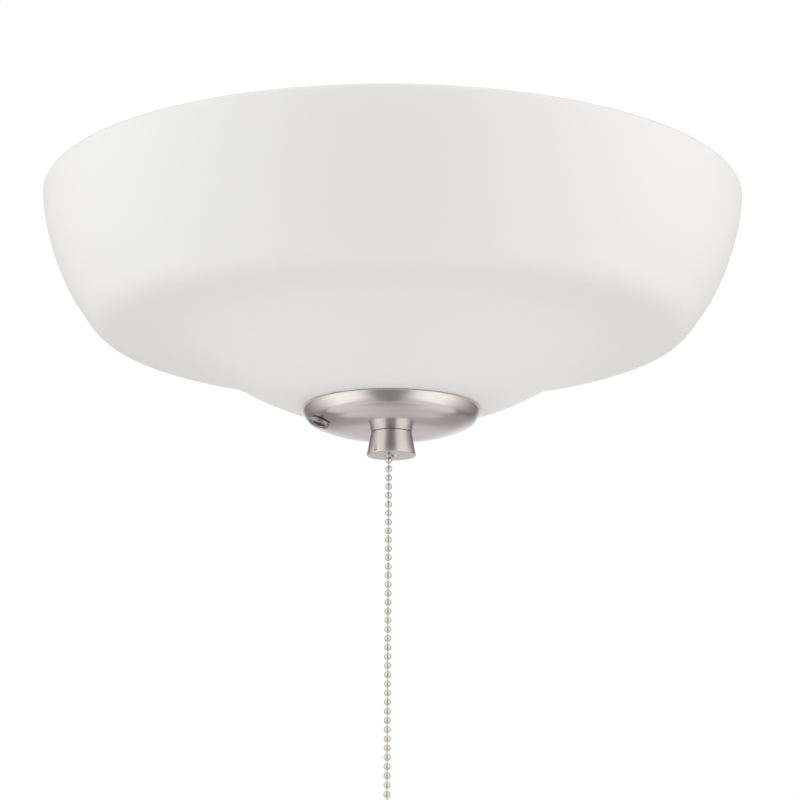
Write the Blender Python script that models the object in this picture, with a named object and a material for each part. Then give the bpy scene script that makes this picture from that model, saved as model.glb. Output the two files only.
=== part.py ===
"""Ceiling fan light kit: an opal glass bowl hung under a steel fitter by a pipe, a cap and a finial.

The origin is the centre of the fitter's top face, which meets the fan's switch housing. +Z is up, the
near side is -Y, and lengths are in metres. The pull chain leaves through the finial's mouth.
"""

import math

import bmesh
import bpy
from mathutils import Matrix

MM = 0.001
TURN = 2 * math.pi
QUARTER = math.pi / 2

# Shared clearances and working values
GAP = 0.3 * MM
OVERRUN = 2.0 * MM
WELD = 0.001 * MM
SHARP_ANGLE = math.radians(32)

# Fitter pan: a drawn cup with its mouth down, and a dish in its top that takes the grommet's flange
PAN_RADIUS = 60.0 * MM
PAN_DEPTH = 34.0 * MM
PAN_WALL = 1.0 * MM
PAN_CORNER = 5.0 * MM
PAN_LIP = 9.0 * MM
DISH_RADIUS = 12.5 * MM
DISH_DEPTH = 2.4 * MM
WIRE_HOLE_RADIUS = 9.0 * MM
KEYHOLE_CIRCLE_RADIUS = 44.5 * MM
KEYHOLE_ENTRY_RADIUS = 4.6 * MM
KEYHOLE_SLOT_RADIUS = 2.5 * MM
KEYHOLE_TRAVEL = 8.5 * MM
KEYHOLE_COUNT = 3
KEYHOLE_AZIMUTH = math.radians(30)

# Rubber grommet in the wire hole
GROMMET_BORE = 6.0 * MM
GROMMET_FLANGE = 2.4 * MM
GROMMET_LIP = 1.5 * MM

# Socket plate: a disc under the pan's lip, with three lugs bent down
PLATE_THICKNESS = 1.2 * MM
PLATE_MARGIN = 1.0 * MM
LUG_COUNT = 3
LUG_AZIMUTH = math.radians(30)
LUG_RADIUS = 25.0 * MM
LUG_WIDTH = 19.0 * MM
LUG_BEND = 1.4 * MM
LUG_WINDOW = 24.0 * MM
LUG_BELOW_AXIS = 9.0 * MM
LAMP_AXIS_DROP = 18.5 * MM
FAN_CHAIN_HOLE_RADIUS = 3.5 * MM

# Screws: pan heads on round shanks
PLATE_SCREW_SHANK = 1.9 * MM
PLATE_SCREW_HEAD = 3.6 * MM
PLATE_SCREW_LENGTH = 7.0 * MM
SMALL_SCREW_SHANK = 1.6 * MM
SMALL_SCREW_HEAD = 3.0 * MM
HEAD_HEIGHT_SHARE = 0.62
HOLDER_SCREW_LENGTH = 5.6 * MM
BRACKET_SCREW_LENGTH = 3.6 * MM

# Centre pipe, 1/8-IP hollow threaded rod, with its nuts
PIPE_RADIUS = 4.85 * MM
PIPE_BORE = 3.3 * MM
PIPE_ABOVE_NUT = 2.0 * MM
NUT_FLATS = 12.7 * MM
NUT_HEIGHT = 3.0 * MM
WASHER_RADIUS = 8.0 * MM
WASHER_THICKNESS = 1.2 * MM

# Pull switch on its bracket, straight above the pipe
BRACKET_THICKNESS = 1.0 * MM
BRACKET_WIDTH = 22.0 * MM
BRACKET_SPAN = 34.0 * MM
BRACKET_FOOT = 9.0 * MM
BRACKET_HEIGHT = 13.0 * MM
SWITCH_RADIUS = 12.5 * MM
SWITCH_HEIGHT = 13.0 * MM
SWITCH_NECK_RADIUS = 4.7 * MM
SWITCH_NECK_LENGTH = 5.2 * MM
NECK_NUT_FLATS = 12.0 * MM
NECK_NUT_HEIGHT = 2.2 * MM

# Lampholders, E12, and their candle lamps
HOLDER_RADIUS = 11.0 * MM
HOLDER_LENGTH = 34.0 * MM
HOLDER_BACK = 8.0 * MM
HOLDER_FOOT_RADIUS = 9.5 * MM
HOLDER_FOOT_LENGTH = 6.0 * MM
HOLDER_CHAMFER = 1.0 * MM
SHELL_WALL = 0.4 * MM
SHELL_LENGTH = 22.0 * MM
CONTACT_RADIUS = 2.6 * MM
CONTACT_HEIGHT = 2.4 * MM
LAMP_BASE_RADIUS = 5.95 * MM
LAMP_BASE_LENGTH = 22.5 * MM
LAMP_TIP_RADIUS = 2.2 * MM
LAMP_TIP_HEIGHT = 3.0 * MM
LAMP_BULGE_RADIUS = 15.9 * MM
LAMP_ENVELOPE_LENGTH = 68.0 * MM
# Stations along a lamp's glass: share of its length, share of its bulge radius
LAMP_SHAPE_SHARES = (
    (0.07, 0.42),
    (0.17, 0.72),
    (0.28, 0.93),
    (0.40, 1.0),
    (0.54, 0.94),
    (0.70, 0.72),
    (0.84, 0.43),
    (0.94, 0.2),
)

# Glass bowl
RIM_BELOW_TOP = 12.0 * MM
BOWL_RADIUS = 165.0 * MM
BOWL_DEPTH = 100.2 * MM
GLASS_WALL = 3.6 * MM
RIM_EDGE = 1.2 * MM
SEAT_MARGIN = 0.7 * MM
SEAT_WIDTH = 4.5 * MM
# Stations down the outline: share of the radius, share of the depth, and the slope there in degrees
BOWL_WALL_SHARES = (0.8988, 0.513, 54.0)
BOWL_SHOULDER_SHARES = (0.7818, 0.6747, 10.0)
BOWL_OGEE_SHARES = (0.5139, 0.8124, 28.8)
BOWL_SEAT_SLOPE = 9.0
# Reach of the curve handles, as shares of each stretch's chord
BOWL_HANDLE_SHARES = (0.27, 0.45, 0.43, 0.33)
BOWL_OUTER_COUNTS = (6, 7, 5, 5)
BOWL_INNER_COUNTS = (3, 4, 3, 2)

# Gasket between the glass and the cap
GASKET_THICKNESS = 0.8 * MM
GASKET_WIDTH = 2.6 * MM

# Spun cap under the bowl
CAP_RADIUS = 41.3 * MM
CAP_DEPTH = 10.3 * MM
CAP_WALL = 0.9 * MM
CAP_HEM = 0.35 * MM
CAP_SHELF = 3.4 * MM
# Stations down the dish: share of the radius, share of the depth, and the slope there in degrees
CAP_RIM_SLOPE = 80.0
CAP_WALL_SHARES = (0.966, 0.35, 60.0)
CAP_FLOOR_SHARES = (0.79, 0.764, 23.0)
CAP_BOSS_SLOPE = 3.0
CAP_HANDLE_SHARES = (0.35, 0.36, 0.33)
CAP_OUTER_COUNTS = (2, 5, 4)
CAP_INNER_COUNTS = (1, 3, 2)

# Outlet ferrule for the fan's own chain, in the cap's left side
FERRULE_PLACE = 34.8 * MM
FERRULE_AZIMUTH = math.radians(198)
FERRULE_BORE = 2.8 * MM
FERRULE_SHANK = 3.4 * MM
FERRULE_FLANGE = 4.8 * MM
FERRULE_HEIGHT = 1.7 * MM
FERRULE_EDGE = 0.5 * MM
FERRULE_INSIDE = 1.2 * MM
FERRULE_FLARE = 4.1 * MM

# Finial: a plain flared frustum, threaded on the pipe's lower end
FINIAL_TOP_RADIUS = 9.55 * MM
FINIAL_BOTTOM_RADIUS = 11.6 * MM
FINIAL_HEIGHT = 10.6 * MM
FINIAL_EDGE = 0.45 * MM
FINIAL_MOUTH = 3.45 * MM
FINIAL_THREAD_DEPTH = 7.0 * MM
THREAD_PITCH = 0.94 * MM
THREAD_TURN_COUNT = 6

# Ball chain, No. 6
BEAD_RADIUS = 1.6 * MM
BEAD_PITCH = 4.16 * MM
LINK_RADIUS = 0.45 * MM
CHAIN_OFFSET = -1.2 * MM
FIRST_BEAD_DROP = 2.2 * MM
FREE_BEAD_COUNT = 1
HANGING_BEAD_COUNT = 43
BELL_RADIUS = 3.9 * MM
BELL_LENGTH = 13.0 * MM
BELL_NECK_RADIUS = 2.3 * MM
# Stations down the bell: share of its length, share of its mouth's radius
BELL_SHAPE_SHARES = (
    (0.5, 0.8),
    (0.87, 1.0),
    (1.0, 1.0),
    (1.0, 0.5),
    (0.67, 0.5),
    (0.67, 0.0),
)

# Facets round each kind of turned piece
BOWL_STEPS = 44
CAP_STEPS = 36
PAN_STEPS = 36
FINIAL_STEPS = 28
HOLDER_STEPS = 14
SMALL_STEPS = 10
SCREW_STEPS = 8
BEAD_STEPS = 6
INNER_BEAD_STEPS = 5
# Rings on a bead, as shares of its radius above and below its middle
BEAD_RING_SHARES = (-0.72, 0.0, 0.72)
INNER_RING_SHARES = (-0.55, 0.55)

# Heights that follow from the sizes above
PAN_BOTTOM = -PAN_DEPTH
PLATE_TOP = PAN_BOTTOM - GAP
PLATE_BOTTOM = PLATE_TOP - PLATE_THICKNESS
LAMP_AXIS = PLATE_BOTTOM - LAMP_AXIS_DROP
BOWL_RIM = -RIM_BELOW_TOP
SEAT_HEIGHT = BOWL_RIM - BOWL_DEPTH
GASKET_TOP = SEAT_HEIGHT - GAP
CAP_RIM = GASKET_TOP - GASKET_THICKNESS - GAP
CAP_BOTTOM = CAP_RIM - CAP_DEPTH
FINIAL_TOP = CAP_BOTTOM - GAP
FINIAL_BOTTOM = FINIAL_TOP - FINIAL_HEIGHT
PIPE_TOP = PLATE_TOP + GAP + NUT_HEIGHT + PIPE_ABOVE_NUT
PIPE_BOTTOM = FINIAL_TOP - THREAD_TURN_COUNT * THREAD_PITCH - GAP
BRACKET_TOP = PLATE_TOP + GAP + BRACKET_HEIGHT
SWITCH_BOTTOM = BRACKET_TOP + GAP
PIPE_HOLE_RADIUS = PIPE_RADIUS + GAP
SEAT_OUTER = CAP_RADIUS + SEAT_MARGIN
SEAT_INNER = SEAT_OUTER - SEAT_WIDTH
SCREW_CIRCLE_RADIUS = PAN_RADIUS - PAN_WALL - PAN_LIP / 2
LUG_FACE = LUG_RADIUS + PLATE_THICKNESS
HOLDER_START = LUG_FACE + GAP
HOLDER_SCREW_HOLE = SMALL_SCREW_SHANK + GAP
SHELL_INNER = LAMP_BASE_RADIUS + GAP
SHELL_OUTER = SHELL_INNER + SHELL_WALL
HOLDER_BORE = SHELL_OUTER + GAP
FIRST_BEAD = FINIAL_BOTTOM - FIRST_BEAD_DROP
CHAIN_PIVOT = FIRST_BEAD - FREE_BEAD_COUNT * BEAD_PITCH
SWITCH_NECK_BORE = BEAD_RADIUS - CHAIN_OFFSET + GAP


def finish(name, colour, roughness, metallic):
    """A Principled material in one colour."""
    made = bpy.data.materials.new(name)
    made.use_nodes = True
    shader = made.node_tree.nodes["Principled BSDF"]
    shader.inputs["Base Color"].default_value = (*colour, 1.0)
    shader.inputs["Roughness"].default_value = roughness
    shader.inputs["Metallic"].default_value = metallic
    made.diffuse_color = (*colour, 1.0)
    return made


def add_object(name, bm, material):
    """Turn a bmesh into a named object, shaded smooth with its sharp edges kept."""
    bmesh.ops.remove_doubles(bm, verts=bm.verts, dist=WELD)
    bmesh.ops.recalc_face_normals(bm, faces=bm.faces)
    mesh = bpy.data.meshes.new(name)
    bm.to_mesh(mesh)
    bm.free()
    mesh.materials.append(material)
    mesh.shade_smooth()
    mesh.set_sharp_from_angle(angle=SHARP_ANGLE)
    made = bpy.data.objects.new(name, mesh)
    bpy.context.collection.objects.link(made)
    return made


def turned(name, outline, steps, material):
    """Revolve an outline of (radius, height) points about Z. It is closed unless both ends are on the axis."""
    bm = bmesh.new()
    line = [bm.verts.new((radius, 0.0, height)) for radius, height in outline]
    pairs = list(zip(line, line[1:]))
    if outline[0][0] > 0 or outline[-1][0] > 0:
        pairs.append((line[-1], line[0]))
    edges = [bm.edges.new(pair) for pair in pairs]
    bmesh.ops.spin(
        bm,
        geom=line + edges,
        cent=(0.0, 0.0, 0.0),
        axis=(0.0, 0.0, 1.0),
        angle=TURN,
        steps=steps,
        use_merge=True,
    )
    return add_object(name, bm, material)


def ring_outline(inner, outer, low, high):
    """A flat ring's section."""
    return [(inner, low), (outer, low), (outer, high), (inner, high)]


def extruded(name, outline, depth, material):
    """Extrude an outline of (x, z) points by a depth that is centred on the XZ plane."""
    bm = bmesh.new()
    face = bm.faces.new([bm.verts.new((x, -depth / 2, z)) for x, z in outline])
    pushed = bmesh.ops.extrude_face_region(bm, geom=[face])["geom"]
    moved = [item for item in pushed if isinstance(item, bmesh.types.BMVert)]
    bmesh.ops.translate(bm, verts=moved, vec=(0.0, depth, 0.0))
    return add_object(name, bm, material)


def hex_nut(name, flats, bore, low, height, material):
    """A hexagonal nut about Z. Every second facet line falls on a corner."""
    steps = 12
    bm = bmesh.new()
    rings = []
    for index in range(steps):
        angle = index * TURN / steps
        corner = flats / 2 / math.cos(TURN / steps) if index % 2 == 0 else flats / 2
        line = [(bore, low), (corner, low), (corner, low + height), (bore, low + height)]
        rings.append([bm.verts.new((r * math.cos(angle), r * math.sin(angle), z)) for r, z in line])
    for here, there in zip(rings, rings[1:] + rings[:1]):
        for corner in range(4):
            after = (corner + 1) % 4
            bm.faces.new((here[corner], there[corner], there[after], here[after]))
    return add_object(name, bm, material)


def pan_screw(name, shank, head, length, material):
    """A pan-head screw pointing up from its head, with the head's flat face at zero."""
    rise = head * HEAD_HEIGHT_SHARE
    crown = head / 2
    point = shank / 2
    outline = [
        (0.0, length),
        (shank, length - point),
        (shank, 0.0),
        (head, 0.0),
        (head, -rise / 2),
        (crown, -rise),
        (0.0, -rise),
    ]
    return turned(name, outline, SCREW_STEPS, material)


def drill(radius, low, high, steps=SMALL_STEPS):
    """A round cutter about Z."""
    cutter = turned("cutter", [(0.0, low), (radius, low), (radius, high), (0.0, high)], steps, None)
    cutter.hide_render = True
    cutter.display_type = "WIRE"
    return cutter


def slab(width, depth, low, high):
    """A rectangular cutter, centred on Z."""
    corners = [(-width / 2, low), (width / 2, low), (width / 2, high), (-width / 2, high)]
    cutter = extruded("cutter", corners, depth, None)
    cutter.hide_render = True
    cutter.display_type = "WIRE"
    return cutter


def combine(piece, tool, operation="DIFFERENCE"):
    """Cut a tool out of a piece, or join it on."""
    step = piece.modifiers.new(operation.lower(), "BOOLEAN")
    step.operation = operation
    step.object = tool
    tool.hide_render = True
    tool.display_type = "WIRE"
    return piece


def gather(name, pieces, place=(0.0, 0.0, 0.0), turn=(0.0, 0.0, 0.0)):
    """Parent pieces to an empty, which stands on the axis that they move or are turned about."""
    empty = bpy.data.objects.new(name, None)
    bpy.context.collection.objects.link(empty)
    empty.location = place
    empty.rotation_euler = turn
    for piece in pieces:
        piece.parent = empty
    return empty


def polar(radius, azimuth, height=0.0):
    """The point at a radius and azimuth about Z."""
    return (radius * math.cos(azimuth), radius * math.sin(azimuth), height)


def spread(count, first):
    """Evenly spaced azimuths."""
    return [first + index * TURN / count for index in range(count)]


def curve(start, start_slope, end, end_slope, reach, count):
    """Points of a cubic from one (radius, height) to a lower, inner one, without its first point.

    The slopes are degrees below the inward horizontal.
    """
    chord = math.dist(start, end) * reach
    a, b = math.radians(start_slope), math.radians(end_slope)
    first = (start[0] - chord * math.cos(a), start[1] - chord * math.sin(a))
    second = (end[0] + chord * math.cos(b), end[1] + chord * math.sin(b))
    points = []
    for index in range(1, count + 1):
        t = index / count
        weights = ((1 - t) ** 3, 3 * t * (1 - t) ** 2, 3 * t * t * (1 - t), t**3)
        places = (start, first, second, end)
        points.append(tuple(sum(w * p[axis] for w, p in zip(weights, places)) for axis in (0, 1)))
    return points


def inset_line(points, distance):
    """Move an outline that runs inwards and down by a distance, to its upper, inner side."""
    moved = []
    for index, (radius, height) in enumerate(points):
        before = points[max(index - 1, 0)]
        after = points[min(index + 1, len(points) - 1)]
        along = math.dist(before, after)
        run = (before[0] - after[0]) / along
        fall = (before[1] - after[1]) / along
        moved.append((radius - distance * fall, height + distance * run))
    return moved


def bowl_line(counts):
    """The bowl's outer outline, from under its rim down to the ground seat."""
    stations = [((BOWL_RADIUS, BOWL_RIM - RIM_EDGE), 90.0)]
    for radius_share, depth_share, slope in (BOWL_WALL_SHARES, BOWL_SHOULDER_SHARES, BOWL_OGEE_SHARES):
        stations.append(((BOWL_RADIUS * radius_share, BOWL_RIM - BOWL_DEPTH * depth_share), slope))
    stations.append(((SEAT_OUTER, SEAT_HEIGHT), BOWL_SEAT_SLOPE))
    line = [stations[0][0]]
    for (start, a), (end, b), reach, count in zip(stations, stations[1:], BOWL_HANDLE_SHARES, counts):
        line += curve(start, a, end, b, reach, count)
    return line


def cap_line(counts):
    """The cap's outer outline, from under its rim down to the pipe's hole."""
    stations = [((CAP_RADIUS, CAP_RIM - CAP_HEM), CAP_RIM_SLOPE)]
    for radius_share, depth_share, slope in (CAP_WALL_SHARES, CAP_FLOOR_SHARES):
        stations.append(((CAP_RADIUS * radius_share, CAP_RIM - CAP_DEPTH * depth_share), slope))
    stations.append(((FINIAL_TOP_RADIUS, CAP_BOTTOM), CAP_BOSS_SLOPE))
    line = [stations[0][0]]
    for (start, a), (end, b), reach, count in zip(stations, stations[1:], CAP_HANDLE_SHARES, counts):
        line += curve(start, a, end, b, reach, count)
    return line


def make_pan(steel):
    """The drawn cup that bolts to the fan, with keyholes, a wire hole and a lip for the socket plate."""
    inner = PAN_RADIUS - PAN_WALL
    lip = inner - PAN_LIP
    bend = PAN_CORNER * (1 - math.cos(QUARTER / 2))
    inner_corner = PAN_CORNER - PAN_WALL
    inner_bend = inner_corner * (1 - math.cos(QUARTER / 2))
    dish_shift = PAN_WALL * math.tan(QUARTER / 4)
    outline = [
        (0.0, -DISH_DEPTH),
        (DISH_RADIUS, -DISH_DEPTH),
        (DISH_RADIUS + DISH_DEPTH, 0.0),
        (PAN_RADIUS - PAN_CORNER, 0.0),
        (PAN_RADIUS - bend, -bend),
        (PAN_RADIUS, -PAN_CORNER),
        (PAN_RADIUS, PAN_BOTTOM),
        (lip, PAN_BOTTOM),
        (lip, PAN_BOTTOM + PAN_WALL),
        (inner, PAN_BOTTOM + PAN_WALL),
        (inner, -PAN_CORNER),
        (inner - inner_bend, -PAN_WALL - inner_bend),
        (inner - inner_corner, -PAN_WALL),
        (DISH_RADIUS + DISH_DEPTH + dish_shift, -PAN_WALL),
        (DISH_RADIUS + dish_shift, -DISH_DEPTH - PAN_WALL),
        (0.0, -DISH_DEPTH - PAN_WALL),
    ]
    pan = turned("fitter_pan", outline, PAN_STEPS, steel)
    low, high = -PAN_WALL - OVERRUN, OVERRUN
    combine(pan, drill(WIRE_HOLE_RADIUS, low - DISH_DEPTH, high, HOLDER_STEPS))
    for azimuth in spread(KEYHOLE_COUNT, KEYHOLE_AZIMUTH):
        travel = KEYHOLE_TRAVEL / KEYHOLE_CIRCLE_RADIUS
        entry = drill(KEYHOLE_ENTRY_RADIUS, low, high)
        entry.location = polar(KEYHOLE_CIRCLE_RADIUS, azimuth)
        combine(pan, entry)
        end = drill(KEYHOLE_SLOT_RADIUS, low, high)
        end.location = polar(KEYHOLE_CIRCLE_RADIUS, azimuth + travel)
        combine(pan, end)
        slot = slab(2 * KEYHOLE_SLOT_RADIUS, KEYHOLE_TRAVEL, low, high)
        slot.location = polar(KEYHOLE_CIRCLE_RADIUS, azimuth + travel / 2)
        slot.rotation_euler.z = azimuth + travel / 2
        combine(pan, slot)
    chain_hole = drill(FAN_CHAIN_HOLE_RADIUS, low, high)
    chain_hole.location = polar(FERRULE_PLACE, FERRULE_AZIMUTH)
    combine(pan, chain_hole)
    for azimuth in spread(LUG_COUNT, -LUG_AZIMUTH):
        hole = drill(PLATE_SCREW_SHANK + GAP, PAN_BOTTOM - OVERRUN, PAN_BOTTOM + PAN_WALL + OVERRUN)
        hole.location = polar(SCREW_CIRCLE_RADIUS, azimuth)
        combine(pan, hole)
    return pan


def make_grommet(rubber):
    """A rubber ring that lines the wire hole, with a flange on each side of the sheet."""
    waist = WIRE_HOLE_RADIUS - GAP
    flange = WIRE_HOLE_RADIUS + GROMMET_FLANGE
    top, bottom = GAP - DISH_DEPTH, -PAN_WALL - GAP - DISH_DEPTH
    outline = [
        (GROMMET_BORE, top + GROMMET_LIP),
        (waist, top + GROMMET_LIP),
        (flange, top),
        (waist, top),
        (waist, bottom),
        (flange, bottom),
        (waist, bottom - GROMMET_LIP),
        (GROMMET_BORE, bottom - GROMMET_LIP),
    ]
    return turned("wire_grommet", outline, HOLDER_STEPS, rubber)


def make_plate(steel):
    """The socket plate: a disc with three lugs cut and bent down from it, and its screws."""
    outer = PAN_RADIUS - PLATE_MARGIN
    plate = turned(
        "socket_plate",
        ring_outline(PIPE_HOLE_RADIUS, outer, PLATE_BOTTOM, PLATE_TOP),
        PAN_STEPS,
        steel,
    )
    low, high = PLATE_BOTTOM - OVERRUN, PLATE_TOP + OVERRUN
    bend_start = LUG_FACE - LUG_BEND - PLATE_THICKNESS
    foot = LAMP_AXIS - LUG_BELOW_AXIS
    corner = LUG_BEND + PLATE_THICKNESS
    outline = [(bend_start - PLATE_THICKNESS, PLATE_TOP), (bend_start, PLATE_TOP)]
    for step in (1, 2, 3):
        angle = QUARTER * step / 3
        outline.append(
            (bend_start + corner * math.sin(angle), PLATE_TOP - corner * (1 - math.cos(angle)))
        )
    outline += [(LUG_FACE, foot), (LUG_RADIUS, foot)]
    for step in (3, 2, 1, 0):
        angle = QUARTER * step / 3
        outline.append(
            (bend_start + LUG_BEND * math.sin(angle), PLATE_BOTTOM - LUG_BEND * (1 - math.cos(angle)))
        )
    outline.append((bend_start - PLATE_THICKNESS, PLATE_BOTTOM))
    for azimuth in spread(LUG_COUNT, LUG_AZIMUTH):
        window = slab(LUG_WINDOW, LUG_WIDTH, low, high)
        window.location = polar(bend_start + LUG_WINDOW / 2, azimuth)
        window.rotation_euler.z = azimuth
        combine(plate, window)
        lug = extruded("lug", outline, LUG_WIDTH, steel)
        lug.rotation_euler.z = azimuth
        combine(plate, lug, "UNION")
        hole = drill(HOLDER_SCREW_HOLE, LUG_RADIUS - OVERRUN, LUG_FACE + OVERRUN)
        hole.rotation_euler = (0.0, QUARTER, azimuth)
        hole.location = (0.0, 0.0, LAMP_AXIS)
        combine(plate, hole)
    for azimuth in spread(LUG_COUNT, -LUG_AZIMUTH):
        hole = drill(PLATE_SCREW_SHANK + GAP, low, high)
        hole.location = polar(SCREW_CIRCLE_RADIUS, azimuth)
        combine(plate, hole)
    for side in (-1, 1):
        hole = drill(SMALL_SCREW_SHANK + GAP, low, high)
        hole.location = (0.0, side * (BRACKET_SPAN + BRACKET_FOOT) / 2, 0.0)
        combine(plate, hole)
    chain_hole = drill(FAN_CHAIN_HOLE_RADIUS, low, high)
    chain_hole.location = polar(FERRULE_PLACE, FERRULE_AZIMUTH)
    combine(plate, chain_hole)
    return plate


def make_plate_screws(steel):
    """The screws that hold the socket plate to the pan's lip, driven from below."""
    for index, azimuth in enumerate(spread(LUG_COUNT, -LUG_AZIMUTH), start=1):
        screw = pan_screw(
            f"plate_screw_{index}", PLATE_SCREW_SHANK, PLATE_SCREW_HEAD, PLATE_SCREW_LENGTH, steel
        )
        screw.location = polar(SCREW_CIRCLE_RADIUS, azimuth, PLATE_BOTTOM - GAP)


def make_pipe(zinc):
    """The hollow rod that carries the bowl, clamped to the socket plate by two nuts and a washer."""
    turned(
        "centre_pipe",
        ring_outline(PIPE_BORE, PIPE_RADIUS, PIPE_BOTTOM, PIPE_TOP),
        HOLDER_STEPS,
        zinc,
    )
    hex_nut("pipe_nut_upper", NUT_FLATS, PIPE_HOLE_RADIUS, PLATE_TOP + GAP, NUT_HEIGHT, zinc)
    washer_top = PLATE_BOTTOM - GAP
    washer_bottom = washer_top - WASHER_THICKNESS
    turned(
        "lock_washer",
        ring_outline(PIPE_HOLE_RADIUS, WASHER_RADIUS, washer_bottom, washer_top),
        HOLDER_STEPS,
        zinc,
    )
    low = washer_bottom - GAP - NUT_HEIGHT
    hex_nut("pipe_nut_lower", NUT_FLATS, PIPE_HOLE_RADIUS, low, NUT_HEIGHT, zinc)


def make_switch(steel, zinc, phenolic):
    """The pull switch on a bridge over the pipe, so that its chain drops down the pipe's bore."""
    top, foot_top = BRACKET_TOP, PLATE_TOP + GAP + BRACKET_THICKNESS
    foot_bottom = PLATE_TOP + GAP
    inside = BRACKET_SPAN / 2 - BRACKET_THICKNESS
    outside = BRACKET_SPAN / 2
    toe = outside + BRACKET_FOOT
    outline = [
        (-toe, foot_bottom),
        (-inside, foot_bottom),
        (-inside, top - BRACKET_THICKNESS),
        (inside, top - BRACKET_THICKNESS),
        (inside, foot_bottom),
        (toe, foot_bottom),
        (toe, foot_top),
        (outside, foot_top),
        (outside, top),
        (-outside, top),
        (-outside, foot_top),
        (-toe, foot_top),
    ]
    bracket = extruded("switch_bracket", outline, BRACKET_WIDTH, steel)
    bracket.rotation_euler.z = QUARTER
    combine(bracket, drill(SWITCH_NECK_RADIUS + GAP, top - BRACKET_THICKNESS - OVERRUN, top + OVERRUN))
    for index, side in enumerate((-1, 1), start=1):
        place = side * (BRACKET_SPAN + BRACKET_FOOT) / 2
        hole = drill(SMALL_SCREW_SHANK + GAP, foot_bottom - OVERRUN, foot_top + OVERRUN)
        hole.rotation_euler.z = -QUARTER
        hole.location = (0.0, place, 0.0)
        combine(bracket, hole)
        screw = pan_screw(
            f"bracket_screw_{index}", SMALL_SCREW_SHANK, SMALL_SCREW_HEAD, BRACKET_SCREW_LENGTH, zinc
        )
        screw.location = (0.0, place, PLATE_BOTTOM - GAP)
    neck_end = SWITCH_BOTTOM - SWITCH_NECK_LENGTH - BRACKET_THICKNESS
    crimp = SWITCH_HEIGHT / 6
    body_top = SWITCH_BOTTOM + SWITCH_HEIGHT
    body = [
        (0.0, SWITCH_BOTTOM + crimp),
        (SWITCH_NECK_BORE, SWITCH_BOTTOM + crimp),
        (SWITCH_NECK_BORE, neck_end),
        (SWITCH_NECK_RADIUS, neck_end),
        (SWITCH_NECK_RADIUS, SWITCH_BOTTOM),
        (SWITCH_RADIUS - crimp, SWITCH_BOTTOM),
        (SWITCH_RADIUS, SWITCH_BOTTOM + crimp),
        (SWITCH_RADIUS, body_top - crimp),
        (SWITCH_RADIUS - crimp, body_top - crimp),
        (SWITCH_RADIUS - crimp, body_top),
        (0.0, body_top),
    ]
    turned("pull_switch", body, HOLDER_STEPS, phenolic)
    nut_top = top - BRACKET_THICKNESS - GAP
    hex_nut(
        "switch_neck_nut",
        NECK_NUT_FLATS,
        SWITCH_NECK_RADIUS + GAP,
        nut_top - NECK_NUT_HEIGHT,
        NECK_NUT_HEIGHT,
        zinc,
    )


def holder_outline():
    """A lampholder's section from its back at zero to its mouth, with a blind screw hole behind."""
    screw_depth = HOLDER_SCREW_LENGTH - PLATE_THICKNESS
    shoulder = HOLDER_RADIUS - HOLDER_FOOT_RADIUS
    return [
        (0.0, screw_depth),
        (HOLDER_SCREW_HOLE, screw_depth),
        (HOLDER_SCREW_HOLE, 0.0),
        (HOLDER_FOOT_RADIUS, 0.0),
        (HOLDER_FOOT_RADIUS, HOLDER_FOOT_LENGTH),
        (HOLDER_RADIUS, HOLDER_FOOT_LENGTH + shoulder),
        (HOLDER_RADIUS, HOLDER_LENGTH - HOLDER_CHAMFER),
        (HOLDER_RADIUS - HOLDER_CHAMFER, HOLDER_LENGTH),
        (HOLDER_BORE, HOLDER_LENGTH),
        (HOLDER_BORE, HOLDER_BACK),
        (0.0, HOLDER_BACK),
    ]


def base_outline(start):
    """A lamp base's section from its contact tip outwards."""
    collar = start + LAMP_TIP_HEIGHT
    return [
        (0.0, start),
        (LAMP_TIP_RADIUS, start + LAMP_TIP_HEIGHT / 5),
        (LAMP_TIP_RADIUS, start + LAMP_TIP_HEIGHT / 2),
        (LAMP_BASE_RADIUS, collar),
        (LAMP_BASE_RADIUS, start + LAMP_BASE_LENGTH),
        (0.0, start + LAMP_BASE_LENGTH),
    ]


def envelope_outline(start):
    """A candle lamp's glass from its neck to its tip: it swells from the neck, then draws to a blunt tip."""
    outline = [(0.0, start), (LAMP_BASE_RADIUS - GAP, start)]
    for along_share, radius_share in LAMP_SHAPE_SHARES:
        outline.append((LAMP_BULGE_RADIUS * radius_share, start + LAMP_ENVELOPE_LENGTH * along_share))
    outline.append((0.0, start + LAMP_ENVELOPE_LENGTH))
    return outline


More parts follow.
